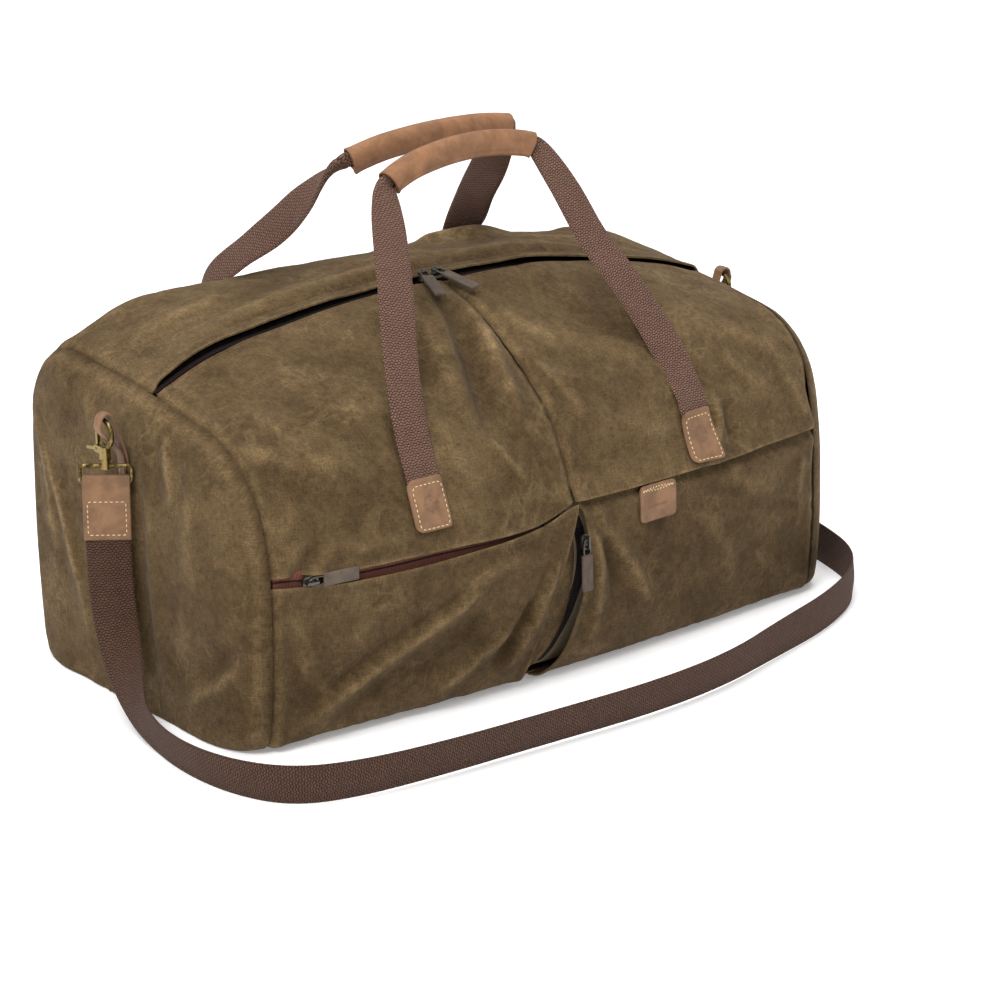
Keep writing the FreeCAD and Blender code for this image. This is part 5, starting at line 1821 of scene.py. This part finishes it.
@dataclass
class Topstitching:
    """Rows of thread along the hems."""

    form: BodyForm
    finishes: Finishes

    def _top_line(self, depth: float, half: float = 272.0) -> np.ndarray:
        """A line along the top at one depth."""
        x = np.linspace(-half, half, 190)
        s = self.form.place(x, 1, np.full(190, depth), 4.0, 12.5)
        return self.form.at(x, s)

    def _front_line(self, edge: Table, offset: float, start: float, end: float) -> np.ndarray:
        """A line along the front at a height above an edge."""
        x = np.linspace(start, end, 160)
        s = self.form.place(x, 2, along_curve(edge, x) + offset, 0.0, 7.9)
        return self.form.at(x, s)

    def build(self, body: BagBody) -> None:
        """Sew every row."""
        sew = Stitcher(4.2, 3.0, 0.7)
        down, inward = (0, 0, -1), (0, 1, 0)
        front, flap = Ground(*body.front_pieces), Ground(body.flap_piece)
        rows = [front.find(self._top_line(-18.0), down, 2)]
        thread = sew.row("zip_hem_stitches", [r[0] for r in rows], [r[1] for r in rows])
        bind(thread, self.finishes.brown_thread, "bag_body", slot="zip_tape")
        line, normals = flap.find(self._top_line(body.flap_hem + 7.0), down, 2)
        thread = sew.row("flap_hem_stitches", [line], [normals])
        bind(thread, self.finishes.dark_thread, "top_flap_body", slot="canvas")
        rows = [front.find(self._front_line(body.hem_low, 4.5, 4, 276), inward, 2),
                front.find(self._front_line(body.left_hem, 4.0, -276, -8), inward, 2),
                front.find(self._front_line(body.pocket_top, -4.5, -276, -12), inward, 2)]
        thread = sew.row("front_hem_stitches", [r[0] for r in rows], [r[1] for r in rows])
        bind(thread, self.finishes.dark_thread, "bag_body", slot="canvas")


class Hardware:
    """Gives the metal and board pieces of the frame their finishes."""

    def __init__(self, finishes: Finishes) -> None:
        """Keep the finishes by kind of node."""
        brass, gunmetal = finishes.brass, finishes.gunmetal
        self.table = {"snap_hook": brass, "snap_gate": brass, "swivel_loop": brass, "gate_pin": brass,
                      "gate_spring": finishes.steel, "main_slider": gunmetal, "pocket_slider": gunmetal,
                      "centre_slider": gunmetal, "base_board": finishes.board}

    def build(self) -> None:
        """Dress each node that is shown as it is."""
        for name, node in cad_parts.items():
            for start_word, finish in self.table.items():
                if name.startswith(start_word):
                    for place in range(max(1, len(node.data.materials))):
                        if node.data.materials:
                            node.data.materials[place] = finish
                        else:
                            node.data.materials.append(finish)


FRONT_HANDLE = Handle(
    "front", -1.0,
    ((-137, -149, 220, 32, 2.2, 0, -1, 0.1), (-135.5, -139, 246, 32, 2.2, 0, -0.95, 0.3),
     (-127, -120, 281, 32, 2.2, 0, -0.85, 0.45), (-115, -100, 316, 32, 2.2, 0, -0.8, 0.55),
     (-101, -76, 344, 32, 2.4, 0, -0.78, 0.55), (-88, -54, 367, 30, 3.0, 0, -0.8, 0.5),
     (-79, -39, 383, 22, 5.0, 0, -0.9, 0.4)),
    ((-72, -33, 391, 13, 5.8, 0, -1, 0.1), (-50, -31, 400, 12, 5.6, 0, -1, 0.1),
     (-24, -30.5, 405.5, 12, 5.6, 0, -1, 0.1), (0, -30.5, 408, 12, 5.6, 0, -1, 0.1),
     (26, -30.5, 408, 12, 5.6, 0, -1, 0.1), (52, -31, 405, 12, 5.6, 0, -1, 0.1),
     (72, -33, 400, 13, 5.8, 0, -1, 0.1)),
    ((79, -39, 391, 22, 5.0, 0, -0.9, 0.4), (88, -58, 364, 30, 3.0, 0, -0.8, 0.5),
     (99, -80, 326, 32, 2.3, 0, -0.8, 0.55), (112, -101, 296, 32, 2.2, 0, -0.85, 0.5),
     (126, -120, 262, 32, 2.2, 0, -0.9, 0.4),
     (136, -139, 229, 32, 2.2, 0, -1, 0.2)),
    73.0)
REAR_HANDLE = Handle(
    "rear", 1.0,
    ((-137.2, 161, 232, 32, 2.2, 0, 1, 0.1), (-135, 151, 260, 32, 2.2, -0.6, 0.7, 0.4),
     (-128, 133, 286, 32, 2.2, -0.92, 0.2, 0.35), (-113, 107, 312, 32, 2.2, -0.9, 0.1, 0.4),
     (-101, 80, 335, 32, 2.3, -0.95, -0.1, 0.3), (-94, 56, 358, 31, 2.8, -0.9, 0, 0.3),
     (-88, 30, 383, 25, 4.2, -0.6, 0.5, 0.4), (-84, 14, 397, 18, 6.0, 0, 0.9, 0.4)),
    ((-79, 8, 402, 13, 5.8, 0, 1, 0.1), (-52, 7.5, 408, 12, 5.6, 0, 1, 0.1),
     (-26, 7, 411, 12, 5.6, 0, 1, 0.1), (0, 7, 412.5, 12, 5.6, 0, 1, 0.1),
     (28, 7, 412.5, 12, 5.6, 0, 1, 0.1), (54, 7.5, 411, 12, 5.6, 0, 1, 0.1),
     (79, 8, 407, 13, 5.8, 0, 1, 0.1)),
    ((84, 14, 401, 18, 6.0, 0, 0.9, 0.4), (88, 28, 387, 25, 4.2, 0.5, 0.6, 0.4),
     (97, 52, 362, 31, 2.8, 0.8, 0.3, 0.4), (107, 80, 336, 32, 2.3, 0.85, 0.2, 0.4),
     (120, 109, 309, 32, 2.2, 0.7, 0.4, 0.5),
     (131, 135, 285, 32, 2.2, 0.4, 0.7, 0.6), (135.5, 153, 261, 32, 2.2, 0.1, 0.9, 0.5),
     (137.2, 161, 236, 32, 2.2, 0, 1, 0.1)),
    80.0)


def main() -> None:
    """Build the set and the bag, piece by piece."""
    Studio().build()
    finishes = Finishes()
    strap = ShoulderStrap()
    webbing = strap.build(finishes)
    body = BagBody()
    body.build(finishes)
    Zips(body.form, finishes).build(body)
    front, back = Ground(*body.front_pieces), Ground(body.back_piece)
    for handle, ground in ((FRONT_HANDLE, front), (REAR_HANDLE, back)):
        handle.build(ground, finishes)
    Trim(finishes).build(front, back)
    Topstitching(body.form, finishes).build(body)
    Hardware(finishes).build()


if __name__ == "__main__":
    logging.basicConfig(level=logging.INFO, format="%(name)s %(message)s")
    main()
